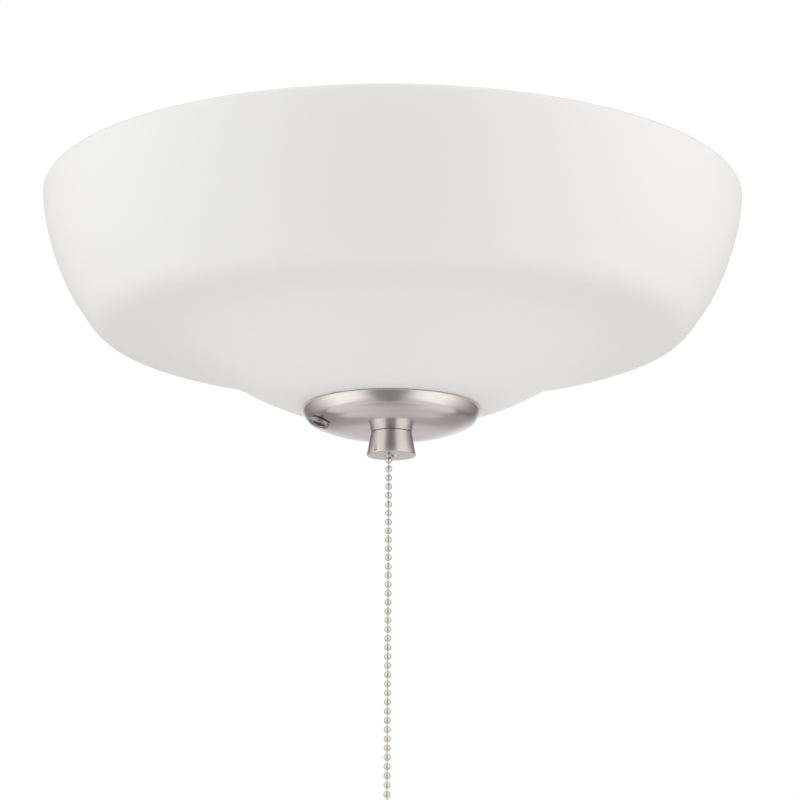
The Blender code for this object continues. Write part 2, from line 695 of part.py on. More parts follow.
def make_lamps(zinc, brass, phenolic, lamp_metal, lamp_glass):
    """Three lampholders on the plate's lugs, each with its shell, contact, screw and candle lamp."""
    for index, azimuth in enumerate(spread(LUG_COUNT, LUG_AZIMUTH), start=1):
        contact_start = HOLDER_BACK + GAP
        base_start = contact_start + CONTACT_HEIGHT + GAP
        envelope_start = base_start + LAMP_BASE_LENGTH + GAP
        shell_start = HOLDER_LENGTH - SHELL_LENGTH - HOLDER_CHAMFER
        contact = [
            (0.0, contact_start),
            (CONTACT_RADIUS, contact_start),
            (CONTACT_RADIUS, contact_start + CONTACT_HEIGHT / 2),
            (0.0, contact_start + CONTACT_HEIGHT),
        ]
        shell = ring_outline(SHELL_INNER, SHELL_OUTER, shell_start, shell_start + SHELL_LENGTH)
        pieces = [
            turned(f"lampholder_{index}", holder_outline(), HOLDER_STEPS, phenolic),
            turned(f"screw_shell_{index}", shell, SMALL_STEPS, brass),
            turned(f"centre_contact_{index}", contact, SMALL_STEPS, brass),
            turned(f"lamp_base_{index}", base_outline(base_start), SMALL_STEPS, lamp_metal),
            turned(f"lamp_envelope_{index}", envelope_outline(envelope_start), HOLDER_STEPS, lamp_glass),
        ]
        screw = pan_screw(
            f"holder_screw_{index}", SMALL_SCREW_SHANK, SMALL_SCREW_HEAD, HOLDER_SCREW_LENGTH - GAP, zinc
        )
        screw.location.z = LUG_RADIUS - GAP - HOLDER_START
        place = polar(HOLDER_START, azimuth, LAMP_AXIS)
        gather(f"lamp_place_{index}", pieces + [screw], place, (0.0, QUARTER, azimuth))


def make_bowl(opal):
    """The opal glass bowl: a tapered wall, a round shoulder and an ogee floor with a ground seat."""
    outer = bowl_line(BOWL_OUTER_COUNTS)
    inner = inset_line(bowl_line(BOWL_INNER_COUNTS), GLASS_WALL)
    inner_rim = BOWL_RADIUS - GLASS_WALL
    edge = RIM_EDGE * (1 - math.cos(QUARTER / 2))
    floor = SEAT_HEIGHT + GLASS_WALL
    outline = [(BOWL_RADIUS - RIM_EDGE, BOWL_RIM), (BOWL_RADIUS - edge, BOWL_RIM - edge)]
    outline += outer
    outline += [(SEAT_INNER, SEAT_HEIGHT), (SEAT_INNER, floor)]
    outline += inner[:0:-1]
    outline += [
        (inner_rim, BOWL_RIM - RIM_EDGE),
        (inner_rim + edge, BOWL_RIM - edge),
        (inner_rim + RIM_EDGE, BOWL_RIM),
    ]
    return turned("glass_bowl", outline, BOWL_STEPS, opal)


def make_gasket(silicone):
    """The silicone ring that keeps the glass off the cap's shelf."""
    outer = CAP_RADIUS - CAP_WALL
    ring = ring_outline(outer - GASKET_WIDTH, outer, GASKET_TOP - GASKET_THICKNESS, GASKET_TOP)
    return turned("bowl_gasket", ring, CAP_STEPS, silicone)


def make_cap(nickel):
    """The spun cap: a dish whose rim is turned in as a shelf, with holes for the pipe and the ferrule."""
    outer = cap_line(CAP_OUTER_COUNTS)
    inner = inset_line(cap_line(CAP_INNER_COUNTS), CAP_WALL)
    shelf = CAP_RADIUS - CAP_SHELF
    under_shelf = CAP_RIM - CAP_WALL
    outline = [(CAP_RADIUS - CAP_HEM, CAP_RIM)]
    outline += outer
    outline += [(PIPE_HOLE_RADIUS, CAP_BOTTOM), (PIPE_HOLE_RADIUS, CAP_BOTTOM + CAP_WALL)]
    outline += inner[:0:-1]
    outline += [(inner[0][0], under_shelf), (shelf, under_shelf), (shelf, CAP_RIM)]
    cap = turned("bottom_cap", outline, CAP_STEPS, nickel)
    hole = drill(FERRULE_SHANK + GAP, -CAP_WALL - OVERRUN, CAP_WALL + OVERRUN)
    hole.matrix_world = ferrule_seat()
    combine(cap, hole)
    return cap


def ferrule_seat():
    """The frame on the cap's outer face where the ferrule sits: +Z runs into the cap."""
    line = cap_line(CAP_OUTER_COUNTS)
    for (r0, z0), (r1, z1) in zip(line, line[1:]):
        if r1 <= FERRULE_PLACE <= r0:
            slope = (z0 - z1) / (r0 - r1)
            height = z0 - slope * (r0 - FERRULE_PLACE)
    tilt = Matrix.Rotation(-math.atan(slope), 4, "Y")
    place = Matrix.Translation((FERRULE_PLACE, 0.0, height)) @ tilt
    return Matrix.Rotation(FERRULE_AZIMUTH, 4, "Z") @ place


def make_ferrule(nickel):
    """The flanged outlet for the fan's own chain, flared over inside the cap."""
    inside = CAP_WALL + 2 * GAP
    mouth = -GAP - FERRULE_HEIGHT
    outline = [
        (FERRULE_BORE, mouth + FERRULE_EDGE),
        (FERRULE_BORE + FERRULE_EDGE, mouth),
        (FERRULE_FLANGE - FERRULE_EDGE, mouth),
        (FERRULE_FLANGE, mouth + FERRULE_EDGE),
        (FERRULE_FLANGE, -GAP),
        (FERRULE_SHANK, -GAP),
        (FERRULE_SHANK, inside),
        (FERRULE_FLARE, inside + FERRULE_INSIDE / 2),
        (FERRULE_FLARE, inside + FERRULE_INSIDE),
        (FERRULE_BORE, inside + FERRULE_INSIDE),
    ]
    ferrule = turned("outlet_ferrule", outline, HOLDER_STEPS, nickel)
    ferrule.matrix_world = ferrule_seat()
    return ferrule


def make_finial(nickel):
    """The flared finial, threaded on the pipe above and open below for the chain."""
    step = FINIAL_TOP - FINIAL_THREAD_DEPTH
    outline = [
        (FINIAL_MOUTH, step),
        (FINIAL_MOUTH, FINIAL_BOTTOM),
        (FINIAL_BOTTOM_RADIUS - FINIAL_EDGE, FINIAL_BOTTOM),
        (FINIAL_BOTTOM_RADIUS, FINIAL_BOTTOM + FINIAL_EDGE),
        (FINIAL_TOP_RADIUS, FINIAL_TOP),
        (PIPE_HOLE_RADIUS, FINIAL_TOP),
        (PIPE_HOLE_RADIUS, step),
    ]
    return turned("finial", outline, FINIAL_STEPS, nickel)


def bead_run(name, first, count, steps, ring_shares, material):
    """A run of beads on their links, hanging down from its first bead. Heights are above the pivot."""
    last = first - (count - 1) * BEAD_PITCH
    stub = (BEAD_PITCH - GAP) / 2
    outline = [(0.0, first + stub), (LINK_RADIUS, first + stub)]
    for index in range(count):
        centre = first - index * BEAD_PITCH
        for share in ring_shares:
            radius = BEAD_RADIUS * math.sqrt(1 - share**2)
            outline.append((radius, centre - BEAD_RADIUS * share))
        if index < count - 1:
            outline.append((LINK_RADIUS, centre - BEAD_PITCH / 2))
    outline += [(LINK_RADIUS, last - stub), (0.0, last - stub)]
    return turned(name, outline, steps, material)


def make_chain(chain_steel, nickel):
    """The pull chain: a stretch inside the pipe, a pivot bead, the hanging stretch and its bell."""
    neck_end = SWITCH_BOTTOM - SWITCH_NECK_LENGTH - BRACKET_THICKNESS
    upper_count = int((neck_end + SWITCH_NECK_LENGTH / 2 - CHAIN_PIVOT) / BEAD_PITCH)
    upper_top = upper_count * BEAD_PITCH
    bell_top = -(HANGING_BEAD_COUNT + 0.5) * BEAD_PITCH - GAP / 2
    bell = [
        (0.0, bell_top),
        (BELL_NECK_RADIUS / 2, bell_top),
        (BELL_NECK_RADIUS, bell_top - BELL_LENGTH / 10),
        (BELL_NECK_RADIUS, bell_top - BELL_LENGTH / 4),
    ]
    for along_share, radius_share in BELL_SHAPE_SHARES:
        bell.append((BELL_RADIUS * radius_share, bell_top - BELL_LENGTH * along_share))
    pieces = [
        bead_run("chain_upper", upper_top, upper_count, INNER_BEAD_STEPS, INNER_RING_SHARES, chain_steel),
        bead_run("pivot_bead", 0.0, 1, SMALL_STEPS, BEAD_RING_SHARES, chain_steel),
        bead_run("pull_chain", -BEAD_PITCH, HANGING_BEAD_COUNT, BEAD_STEPS, BEAD_RING_SHARES, chain_steel),
        turned("chain_bell", bell, SMALL_STEPS, nickel),
    ]
    gather("chain_swivel", pieces, (CHAIN_OFFSET, 0.0, CHAIN_PIVOT))


def main():
    """Clear the scene and make every piece."""
    for old in list(bpy.data.objects):
        bpy.data.objects.remove(old)
    opal = finish("opal_glass", (0.86, 0.86, 0.84), 0.35, 0.0)
    nickel = finish("brushed_nickel", (0.62, 0.58, 0.55), 0.3, 1.0)
    chain_steel = finish("plated_chain", (0.70, 0.66, 0.61), 0.25, 1.0)
    steel = finish("coated_steel", (0.60, 0.57, 0.54), 0.4, 1.0)
    zinc = finish("zinc_plate", (0.68, 0.68, 0.66), 0.35, 1.0)
    brass = finish("brass", (0.72, 0.58, 0.30), 0.3, 1.0)
    phenolic = finish("phenolic", (0.03, 0.03, 0.03), 0.45, 0.0)
    rubber = finish("rubber", (0.04, 0.04, 0.04), 0.7, 0.0)
    silicone = finish("silicone", (0.85, 0.85, 0.83), 0.5, 0.0)
    lamp_metal = finish("lamp_cap_metal", (0.72, 0.71, 0.68), 0.35, 1.0)
    lamp_glass = finish("frosted_lamp_glass", (0.92, 0.92, 0.90), 0.5, 0.0)
    make_pan(steel)
    make_grommet(rubber)
    make_plate(steel)
    make_plate_screws(zinc)
    make_pipe(zinc)
    make_switch(steel, zinc, phenolic)
    make_lamps(zinc, brass, phenolic, lamp_metal, lamp_glass)
    bowl_group = [make_bowl(opal), make_gasket(silicone), make_cap(nickel), make_ferrule(nickel)]
    lowered = gather("bowl_slide", bowl_group)
    unscrewed = gather("finial_turn", [make_finial(nickel)])
    unscrewed.parent = lowered
    make_chain(chain_steel, nickel)


main()
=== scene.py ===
"""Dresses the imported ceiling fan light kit: opal glass, brushed nickel, a ball chain and the inner fittings.

The frame's solids stay where they are. Each piece made here stands for a solid of the frame, takes its
place and main sizes from it, and rides on its body. Lengths are in metres and +Z is up.
"""

import math

import bmesh
import bpy
from bpy.props import FloatProperty, FloatVectorProperty, IntProperty, PointerProperty
from mathutils import Matrix, Vector


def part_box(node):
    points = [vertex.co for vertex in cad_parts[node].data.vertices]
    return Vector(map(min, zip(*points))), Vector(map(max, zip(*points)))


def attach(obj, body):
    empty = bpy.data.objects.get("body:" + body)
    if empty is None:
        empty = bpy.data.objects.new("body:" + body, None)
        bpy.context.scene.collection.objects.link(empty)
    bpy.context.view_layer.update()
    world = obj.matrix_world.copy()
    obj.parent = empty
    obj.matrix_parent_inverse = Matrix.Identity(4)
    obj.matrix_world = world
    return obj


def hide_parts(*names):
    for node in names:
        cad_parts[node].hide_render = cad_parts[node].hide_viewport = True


bl_info = {
    "name": "Ceiling fan light kit",
    "version": (1, 0, 0),
    "blender": (4, 5, 0),
    "location": "3D View > Sidebar > Light kit",
    "description": "Makes the finished surfaces of a ceiling fan light kit around its frame",
    "category": "Object",
}

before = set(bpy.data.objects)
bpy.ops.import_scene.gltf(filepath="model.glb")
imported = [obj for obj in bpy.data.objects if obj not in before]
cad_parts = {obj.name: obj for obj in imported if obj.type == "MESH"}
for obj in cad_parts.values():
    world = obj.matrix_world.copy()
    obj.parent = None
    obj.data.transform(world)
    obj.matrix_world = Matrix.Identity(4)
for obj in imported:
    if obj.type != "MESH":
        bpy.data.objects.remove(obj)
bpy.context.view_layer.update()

MM = 0.001
TURN = 2 * math.pi
QUARTER = math.pi / 2
WELD = 0.001 * MM
GAP = 0.3 * MM
OVERRUN = 2.0 * MM
SHARP_ANGLE = math.radians(38)
EASE_ANGLE = math.radians(18)
EASE_STEPS = 3
# How far off a rounded corner its outer points stand, in roundings; the radius of the brush noise's ring
HOLD = 1.12
AROUND = 3

# Bowl: stations down its outline as shares of radius and depth, with the slope there in degrees
BOWL_STATION_SHARES = ((0.8988, 0.513, 54.0), (0.7818, 0.6747, 10.0), (0.5139, 0.8124, 28.8))
BOWL_SEAT_SLOPE = 9.0
BOWL_HANDLE_SHARES = (0.27, 0.45, 0.43, 0.33)
BOWL_COUNTS = (16, 20, 14, 14)
SEAT_OUTER_MARGIN = 0.7 * MM
GLASS_EDGE = 0.5 * MM
FIRE_POLISH = 1.1 * MM
GASKET_OUTSIDE = 0.4 * MM
GASKET_INSIDE = 2.6 * MM
GASKET_EDGE = 0.35 * MM

# Cap: stations down its dish, in the same way
CAP_RIM_SLOPE = 80.0
CAP_STATION_SHARES = ((0.966, 0.35, 60.0), (0.79, 0.764, 23.0))
CAP_BOSS_SLOPE = 3.0
CAP_HANDLE_SHARES = (0.35, 0.36, 0.33)
CAP_COUNTS = (8, 18, 14)
CAP_WALL = 0.9 * MM
CAP_HEM = 0.35 * MM
CAP_LIP = 1.2 * MM
CAP_LIP_RADIUS = 0.2 * MM
CAP_SHELF = 3.4 * MM

# Ferrule, seated on the cap
FERRULE_PLACE = 34.8 * MM
FERRULE_AZIMUTH = math.radians(198)
FERRULE_BORE = 2.8 * MM
FERRULE_SHANK = 3.4 * MM
FERRULE_FLANGE = 4.8 * MM
FERRULE_HEIGHT = 1.7 * MM
FERRULE_LIFT = 0.06 * MM
FERRULE_FLARE = 4.1 * MM
FERRULE_INSIDE = 1.2 * MM
FERRULE_EDGE = 0.6 * MM

# Finial and pipe
FINIAL_TOP_RADIUS = 9.55 * MM
FINIAL_MOUTH = 3.45 * MM
FINIAL_EDGE = 0.45 * MM
FINIAL_SEAT = 0.2 * MM
FINIAL_LIP = 0.15 * MM
FINIAL_BORE = 2.95 * MM
FINIAL_COUNTERSINK = 0.9 * MM
FINIAL_THREAD_DEPTH = 7.0 * MM
FINIAL_THREAD_MARGIN = 0.15 * MM
FINIAL_THREAD_RISE = 0.252 * MM
FINIAL_LEAD = 0.4 * MM
PIPE_BORE = 3.3 * MM
PIPE_LEAD = 0.5 * MM
THREAD_PITCH = 0.94 * MM
THREAD_DEPTH = 0.42 * MM
# Places along one pitch, and how far each lies down the thread's depth
THREAD_FORM = ((0.15, 0), (0.35, 0), (0.65, 1), (0.85, 1))
NUT_CHAMFER_SHARE = 0.7
NUT_EDGE = 0.12 * MM
WASHER_EDGE = 0.15 * MM
WASHER_SPLIT = 0.9 * MM

# Fitter
PAN_WALL = 1.0 * MM
PAN_CORNER = 5.0 * MM
PAN_LIP = 9.0 * MM
PAN_EDGE = 1.2 * MM
DISH_RADIUS = 12.5 * MM
DISH_DEPTH = 2.4 * MM
WIRE_HOLE_RADIUS = 9.0 * MM
GROMMET_BORE = 6.0 * MM
GROMMET_EDGE = 0.7 * MM
KEYHOLE_CIRCLE_RADIUS = 44.5 * MM
KEYHOLE_ENTRY_RADIUS = 4.6 * MM
KEYHOLE_SLOT_RADIUS = 2.5 * MM
KEYHOLE_TRAVEL = 8.5 * MM
KEYHOLE_AZIMUTH = math.radians(30)
KEYHOLE_STEPS = (36, 16)
CHAIN_HOLE_RADIUS = 3.5 * MM
PLATE_THICKNESS = 1.2 * MM
LUG_AZIMUTH = math.radians(30)
LUG_WIDTH = 19.0 * MM
LUG_BEND = 1.4 * MM
LUG_WINDOW = 24.0 * MM
PAN_BURR = 0.18 * MM
PLATE_BURR = 0.2 * MM
BRACKET_BURR = 0.25 * MM
BRACKET_THICKNESS = 1.0 * MM
BRACKET_FOOT = 9.0 * MM
SWITCH_NECK = 4.7 * MM
SWITCH_BORE = 3.1 * MM
SWITCH_EDGE = 0.8 * MM
SWITCH_THREAD_DEPTH = 0.3 * MM
SWITCH_THREAD_PITCH = 0.8 * MM

# Screws, and the crowns of their pan heads: how far round, in radians
LARGE_SHANK = 1.9 * MM
LARGE_HEAD = 3.6 * MM
SMALL_SHANK = 1.6 * MM
SMALL_HEAD = 3.0 * MM
SCREW_PITCH = 0.8 * MM
SCREW_EDGE = 0.15 * MM
HEAD_RISE_SHARE = 0.62
HEAD_SIDE_SHARE = 0.55
HEAD_CROWN = (0.0, 0.35, 0.7, 1.05, 1.35)
SCREW_NECK_SHARE = 0.8
SCREW_TIP_SHARE = 0.25
SCREW_THREAD_SHARE = 0.18
# A cross recess in shares of its head: half its mouth, half its foot, its width and its foot's depth
RECESS_SHARES = (0.58, 0.22, 0.2, 0.3)

# Lampholders and lamps; a holder's groove in shares of its length and of its depth
HOLDER_FOOT_LENGTH = 6.0 * MM
HOLDER_FOOT_RADIUS = 9.5 * MM
HOLDER_BACK = 8.0 * MM
HOLDER_SCREW_DEPTH = 4.4 * MM
HOLDER_GROOVE = 0.5 * MM
HOLDER_GROOVE_SHARES = ((0.62, 0), (0.64, 1), (0.68, 1), (0.70, 0))
HOLDER_EDGE = 0.7 * MM
SHELL_WALL = 0.4 * MM
SHELL_DENT = 0.2 * MM
CONTACT_EDGE = 0.5 * MM
CONTACT_CROWN_SHARE = 0.4
LAMP_THREAD_PITCH = 2.54 * MM
LAMP_THREAD_DEPTH = 0.35 * MM
LAMP_THREAD_END = 4.0 * MM
LAMP_SKIRT = 3.6 * MM
LAMP_TIP_RADIUS = 2.2 * MM
LAMP_TIP_HEIGHT = 3.0 * MM
LAMP_TIP_SHARES = (0.7, 0.9)
LAMP_SHAPE_SHARES = (
    (0.07, 0.42), (0.17, 0.72), (0.28, 0.93), (0.40, 1.0),
    (0.54, 0.94), (0.70, 0.72), (0.84, 0.43), (0.94, 0.2),
)
LAMP_SHAPE_STEPS = 6

# Ball chain
BEAD_RINGS = 9
BEAD_DIMPLE = 0.12 * MM
BEAD_HOLE_RADIUS = 0.62 * MM
BEAD_LIP_RADIUS = 0.52 * MM
BELL_SHAPE_SHARES = ((0.1, 0.59), (0.25, 0.6), (0.5, 0.8), (0.87, 1.0), (1.0, 1.0))
BELL_MOUTH_SHARES = (0.8, 0.5)
BELL_NECK = 0.3 * MM
BELL_EDGE = 0.9 * MM
PATH_STEPS = 60

# Faces round the smaller pieces and the stage, and steps along small arcs
FACETS = 40
SCREW_FACETS = 28
RING_FACETS = 72
CASE_FACETS = 64
FERRULE_FACETS = 56
FLOOR_FACETS = 96
CARD_FACETS = 180
RIM_STEPS = 10
BEND_STEPS = 8

# Floor: its radius, and where it turns white
FLOOR_RADIUS = 7.0
FLOOR_EDGE = (0.7, 2.2)
# Softboxes: across, towards the back, up from the pan's top; what they face, and their sides
SOFTBOX_PLACE = (1.32, -0.4, -0.06)
SOFTBOX_AIM = Vector((0.0, 0.0, -0.08))
SOFTBOX_SIZE = (0.8, 1.0)
FLAG_WIDTH = 0.9
FLAG_REACH = (-1.3, -0.28)
FLAG_HEIGHT = -0.615
# The tub of cards: its foot, its height, and where its ground turns into its wall
CARD_FOOT = -0.61
CARD_HEIGHT = 1.7
CARD_JOIN = (0.155, 0.185)
CARD_JOIN_LIFT = 0.11
# Where the join has risen and the back begins, as shares of the way round; where the ground has gained
CARD_FRONT = (0.04, 0.18)
CARD_BACK = (0.78, 0.98)
CARD_GROUND = (0.03, 0.18)
# The wall as metal mirrors it, from the camera's side round to the back: share of the way, brightness
RING_STOPS = (
    (0.0, 0.27), (0.07, 0.3), (0.12, 0.45), (0.17, 0.8), (0.22, 1.03), (0.29, 1.14), (0.39, 1.14),
    (0.47, 1.0), (0.54, 0.76), (0.62, 0.54), (0.7, 0.35), (0.78, 0.24), (0.86, 0.24),
)
BACK_STOPS = (
    (0.0, 0.45), (0.3, 0.44), (0.34, 0.42), (0.38, 0.43), (0.42, 0.56), (0.455, 0.75),
    (0.485, 0.86), (0.52, 0.93), (0.6, 1.0), (1.0, 1.0),
)
# What the ground gains towards its edge, from the camera's side round to the back
GROUND_STOPS = ((0.0, 0.02), (0.12, 0.1), (0.3, 0.3), (0.5, 0.35), (0.82, 0.32), (0.92, 0.19), (1.0, 0.12))
WHITE = (1.0, 1.0, 1.0, 1.0)
# Camera sensor, in millimetres
SENSOR_WIDTH = 36.0


class GlassSettings(bpy.types.PropertyGroup):
    """The opal bowl."""

    wall: FloatProperty(
        name="Wall", description="Thickness of the glass", default=3.6 * MM, min=MM, unit="LENGTH"
    )
    seat_width: FloatProperty(
        name="Seat width", description="Width of the ground ring on the cap",
        default=4.5 * MM, unit="LENGTH",
    )
    tint: FloatVectorProperty(
        name="Tint", description="Colour of the opal glass", default=(0.80, 0.795, 0.787), subtype="COLOR"
    )
    satin: FloatProperty(
        name="Satin", description="Roughness of the etched outside", default=0.42, subtype="FACTOR"
    )
    facets: IntProperty(name="Facets", description="Faces round the bowl", default=176, min=24)


class NickelSettings(bpy.types.PropertyGroup):
    """The brushed nickel pieces."""

    tint: FloatVectorProperty(
        name="Tint", description="Colour of the plating", default=(0.78, 0.752, 0.725), subtype="COLOR"
    )
    # The ferrule's tint is the plating darkened: painted shade for the ferrule's side wall
    stamped: FloatVectorProperty(
        name="Stamped", description="Colour of the stamped ferrule",
        default=(0.46, 0.435, 0.415), subtype="COLOR",
    )
    roughness: FloatProperty(
        name="Roughness", description="Roughness between the brush lines", default=0.18, subtype="FACTOR"
    )
    grain: FloatProperty(name="Grain", description="Width of a brush line", default=0.22 * MM, unit="LENGTH")
    facets: IntProperty(name="Facets", description="Faces round each piece", default=128, min=24)


class ChainSettings(bpy.types.PropertyGroup):
    """The ball chain."""

    bead_radius: FloatProperty(
        name="Bead radius", description="Radius of a bead", default=1.6 * MM, unit="LENGTH"
    )
    pitch: FloatProperty(
        name="Pitch", description="Distance from bead to bead", default=4.16 * MM, unit="LENGTH"
    )
    link_radius: FloatProperty(
        name="Link radius", description="Radius of the wire between beads", default=0.42 * MM, unit="LENGTH"
    )
    tint: FloatVectorProperty(
        name="Tint", description="Colour of the plated beads", default=(0.92, 0.862, 0.81), subtype="COLOR"
    )
    facets: IntProperty(name="Facets", description="Faces round a bead", default=18, min=8)


class FitterSettings(bpy.types.PropertyGroup):
    """The coated sheet metal and the plated fasteners."""

    coat: FloatVectorProperty(
        name="Coat", description="Colour of the coated steel", default=(0.55, 0.52, 0.49), subtype="COLOR"
    )
    zinc: FloatVectorProperty(
        name="Zinc", description="Colour of the zinc plate", default=(0.66, 0.66, 0.63), subtype="COLOR"
    )
    facets: IntProperty(name="Facets", description="Faces round the pan", default=120, min=24)


class LampSettings(bpy.types.PropertyGroup):
    """The lampholders and their candle lamps."""

    moulding: FloatVectorProperty(
        name="Moulding", description="Colour of the phenolic",
        default=(0.028, 0.027, 0.026), subtype="COLOR",
    )
    brass: FloatVectorProperty(
        name="Brass", description="Colour of the shells", default=(0.72, 0.55, 0.28), subtype="COLOR"
    )
    bulb: FloatVectorProperty(
        name="Bulb", description="Colour of the frosted glass", default=(0.86, 0.86, 0.84), subtype="COLOR"
    )
    facets: IntProperty(name="Facets", description="Faces round a lamp", default=48, min=12)


class StudioSettings(bpy.types.PropertyGroup):
    """Floor, lamps and camera."""

    floor_height: FloatProperty(
        name="Floor height", description="Height of the floor", default=-1.15, unit="LENGTH"
    )
    floor_tint: FloatVectorProperty(
        name="Floor tint", description="Colour of the floor", default=(0.97, 0.97, 0.96), subtype="COLOR"
    )
    sky: FloatProperty(name="Sky", description="Strength of the even light", default=0.943, min=0)
    box_strength: FloatProperty(name="Softboxes", description="Power of a softbox in watts", default=3.6)
    left_tint: FloatVectorProperty(
        name="Left softbox", description="Colour of the left softbox",
        default=(0.97, 0.985, 1.0), subtype="COLOR",
    )
    right_tint: FloatVectorProperty(
        name="Right softbox", description="Colour of the right softbox",
        default=(1.0, 0.985, 0.925), subtype="COLOR",
    )
    flag_grey: FloatProperty(name="Flag", description="Grey of the card before the kit", default=0.6)
    card_radius: FloatProperty(
        name="Card radius", description="Radius of the tub of cards", default=0.46, unit="LENGTH"
    )
    card_turn: FloatProperty(
        name="Card turn", description="Turn of the tub about the kit",
        default=math.radians(-3.5), subtype="ANGLE",
    )
    card_strength: FloatProperty(name="Cards", description="Brightness of the cards", default=1.0)
    ground: FloatProperty(name="Ground", description="Brightness of the card under the kit", default=0.42)
    dark_card: FloatVectorProperty(
        name="Dark card", description="Colour of the dark cards",
        size=4, default=(1.0, 0.9, 0.88, 1.0), subtype="COLOR",
    )
    bright_card: FloatVectorProperty(
        name="Bright card", description="Colour of the bright cards",
        size=4, default=(1.0, 1.0, 1.0, 1.0), subtype="COLOR",
    )
    lens: FloatProperty(name="Lens", description="Focal length in millimetres", default=109.66, unit="CAMERA")
    place: FloatVectorProperty(
        name="Place", description="Place of the camera",
        default=(0.0039, -1.1121, -0.3633), subtype="TRANSLATION",
    )
    pitch: FloatProperty(
        name="Pitch", description="Upward tilt of the camera", default=math.radians(12.92), subtype="ANGLE"
    )
    roll: FloatProperty(
        name="Roll", description="Roll of the camera", default=math.radians(0.25), subtype="ANGLE"
    )


class LightKitSettings(bpy.types.PropertyGroup):
    """Everything that the panel shows."""

    glass: PointerProperty(type=GlassSettings)
    nickel: PointerProperty(type=NickelSettings)
    chain: PointerProperty(type=ChainSettings)
    fitter: PointerProperty(type=FitterSettings)
    lamps: PointerProperty(type=LampSettings)
    studio: PointerProperty(type=StudioSettings)


class Wire:
    """An output socket that takes part in sums. Each sum adds a Math node to its graph."""

    def __init__(self, graph, socket):
        self.graph = graph
        self.socket = socket

    def pick(self, name):
        """Another output of the same node."""
        return Wire(self.graph, self.socket.node.outputs[name])

    def math(self, operation, *values):
        """A Math node on some values."""
        return self.graph.math(operation, *values)

    def __add__(self, other):
        return self.math("ADD", self, other)

    def __sub__(self, other):
        return self.math("SUBTRACT", self, other)

    def __rsub__(self, other):
        return self.math("SUBTRACT", other, self)

    def __mul__(self, other):
        return self.math("MULTIPLY", self, other)

    def __truediv__(self, other):
        return self.math("DIVIDE", self, other)

    def __gt__(self, other):
        return self.math("GREATER_THAN", self, other)

    __radd__ = __add__
    __rmul__ = __mul__

    def root(self):
        """The square root."""
        return self.math("SQRT", self)

    def held(self):
        """The value, kept from 0 to 1."""
        return self.graph.node(
            "ShaderNodeMath", {"operation": "ADD", "use_clamp": True}, {0: self, 1: 0.0}
        )


class Graph:
    """A shader graph under construction."""

    def __init__(self, tree):
        self.tree = tree

    def node(self, kind, settings=None, values=None, output=0):
        """Add a node, set its settings first, then fill or link its sockets. Returns one output as a Wire."""
        made = self.tree.nodes.new(kind)
        for name, value in (settings or {}).items():
            setattr(made, name, value)
        for name, value in (values or {}).items():
            self.feed(made.inputs[name], value)
        return Wire(self, made.outputs[output]) if made.outputs else made

    def feed(self, socket, value):
        """Link a Wire to a socket, or set the socket's own value."""
        if isinstance(value, Wire):
            self.tree.links.new(value.socket, socket)
        else:
            socket.default_value = value

    def ramp(self, stops, value):
        """A brightness for a value, from stops of (value, brightness)."""
        made = self.node("ShaderNodeValToRGB", None, {"Fac": value})
        elements = made.socket.node.color_ramp.elements
        while len(elements) < len(stops):
            elements.new(1.0)
        for element, (place, brightness) in zip(elements, stops):
            element.position = place
            element.color = (brightness, brightness, brightness, 1.0)
        return made

    def vector(self, x, y, z):
        """Three values as one vector."""
        return self.node("ShaderNodeCombineXYZ", None, {"X": x, "Y": y, "Z": z})

    def blend(self, factor, first, second):
        """A mix of two colours."""
        return self.node("ShaderNodeMix", {"data_type": "RGBA"}, {0: factor, 6: first, 7: second}, 2)

    def math(self, operation, *values):
        """A Math node on some values."""
        return self.node("ShaderNodeMath", {"operation": operation}, dict(enumerate(values)))

    def ease(self, value, start, end):
        """A smooth rise from 0 to 1 between two values."""
        values = {"Value": value, "From Min": start, "From Max": end}
        return self.node("ShaderNodeMapRange", {"interpolation_type": "SMOOTHSTEP"}, values)

    def noise(self, vector, scale, detail=2.0, fourth=None):
        """A noise value about a half, in three or four dimensions."""
        values = {"Vector": vector, "Scale": scale, "Detail": detail}
        settings = {"noise_dimensions": "3D"}
        if fourth is not None:
            settings = {"noise_dimensions": "4D"}
            values["W"] = fourth
        return self.node("ShaderNodeTexNoise", settings, values)

    def background_rays(self):
        """1 for the rays that show the background: from the camera, mirrored or through glass."""
        path = self.node("ShaderNodeLightPath")
        seen = self.math("MAXIMUM", path, path.pick("Is Glossy Ray"))
        return self.math("MAXIMUM", seen, path.pick("Is Transmission Ray"))

    def place(self):
        """The point on the surface, in the piece's own axes."""
        return self.node("ShaderNodeTexCoord").pick("Object")

    def split(self, vector):
        """A vector's three parts."""
        first = self.node("ShaderNodeSeparateXYZ", None, {"Vector": vector})
        return first, first.pick("Y"), first.pick("Z")


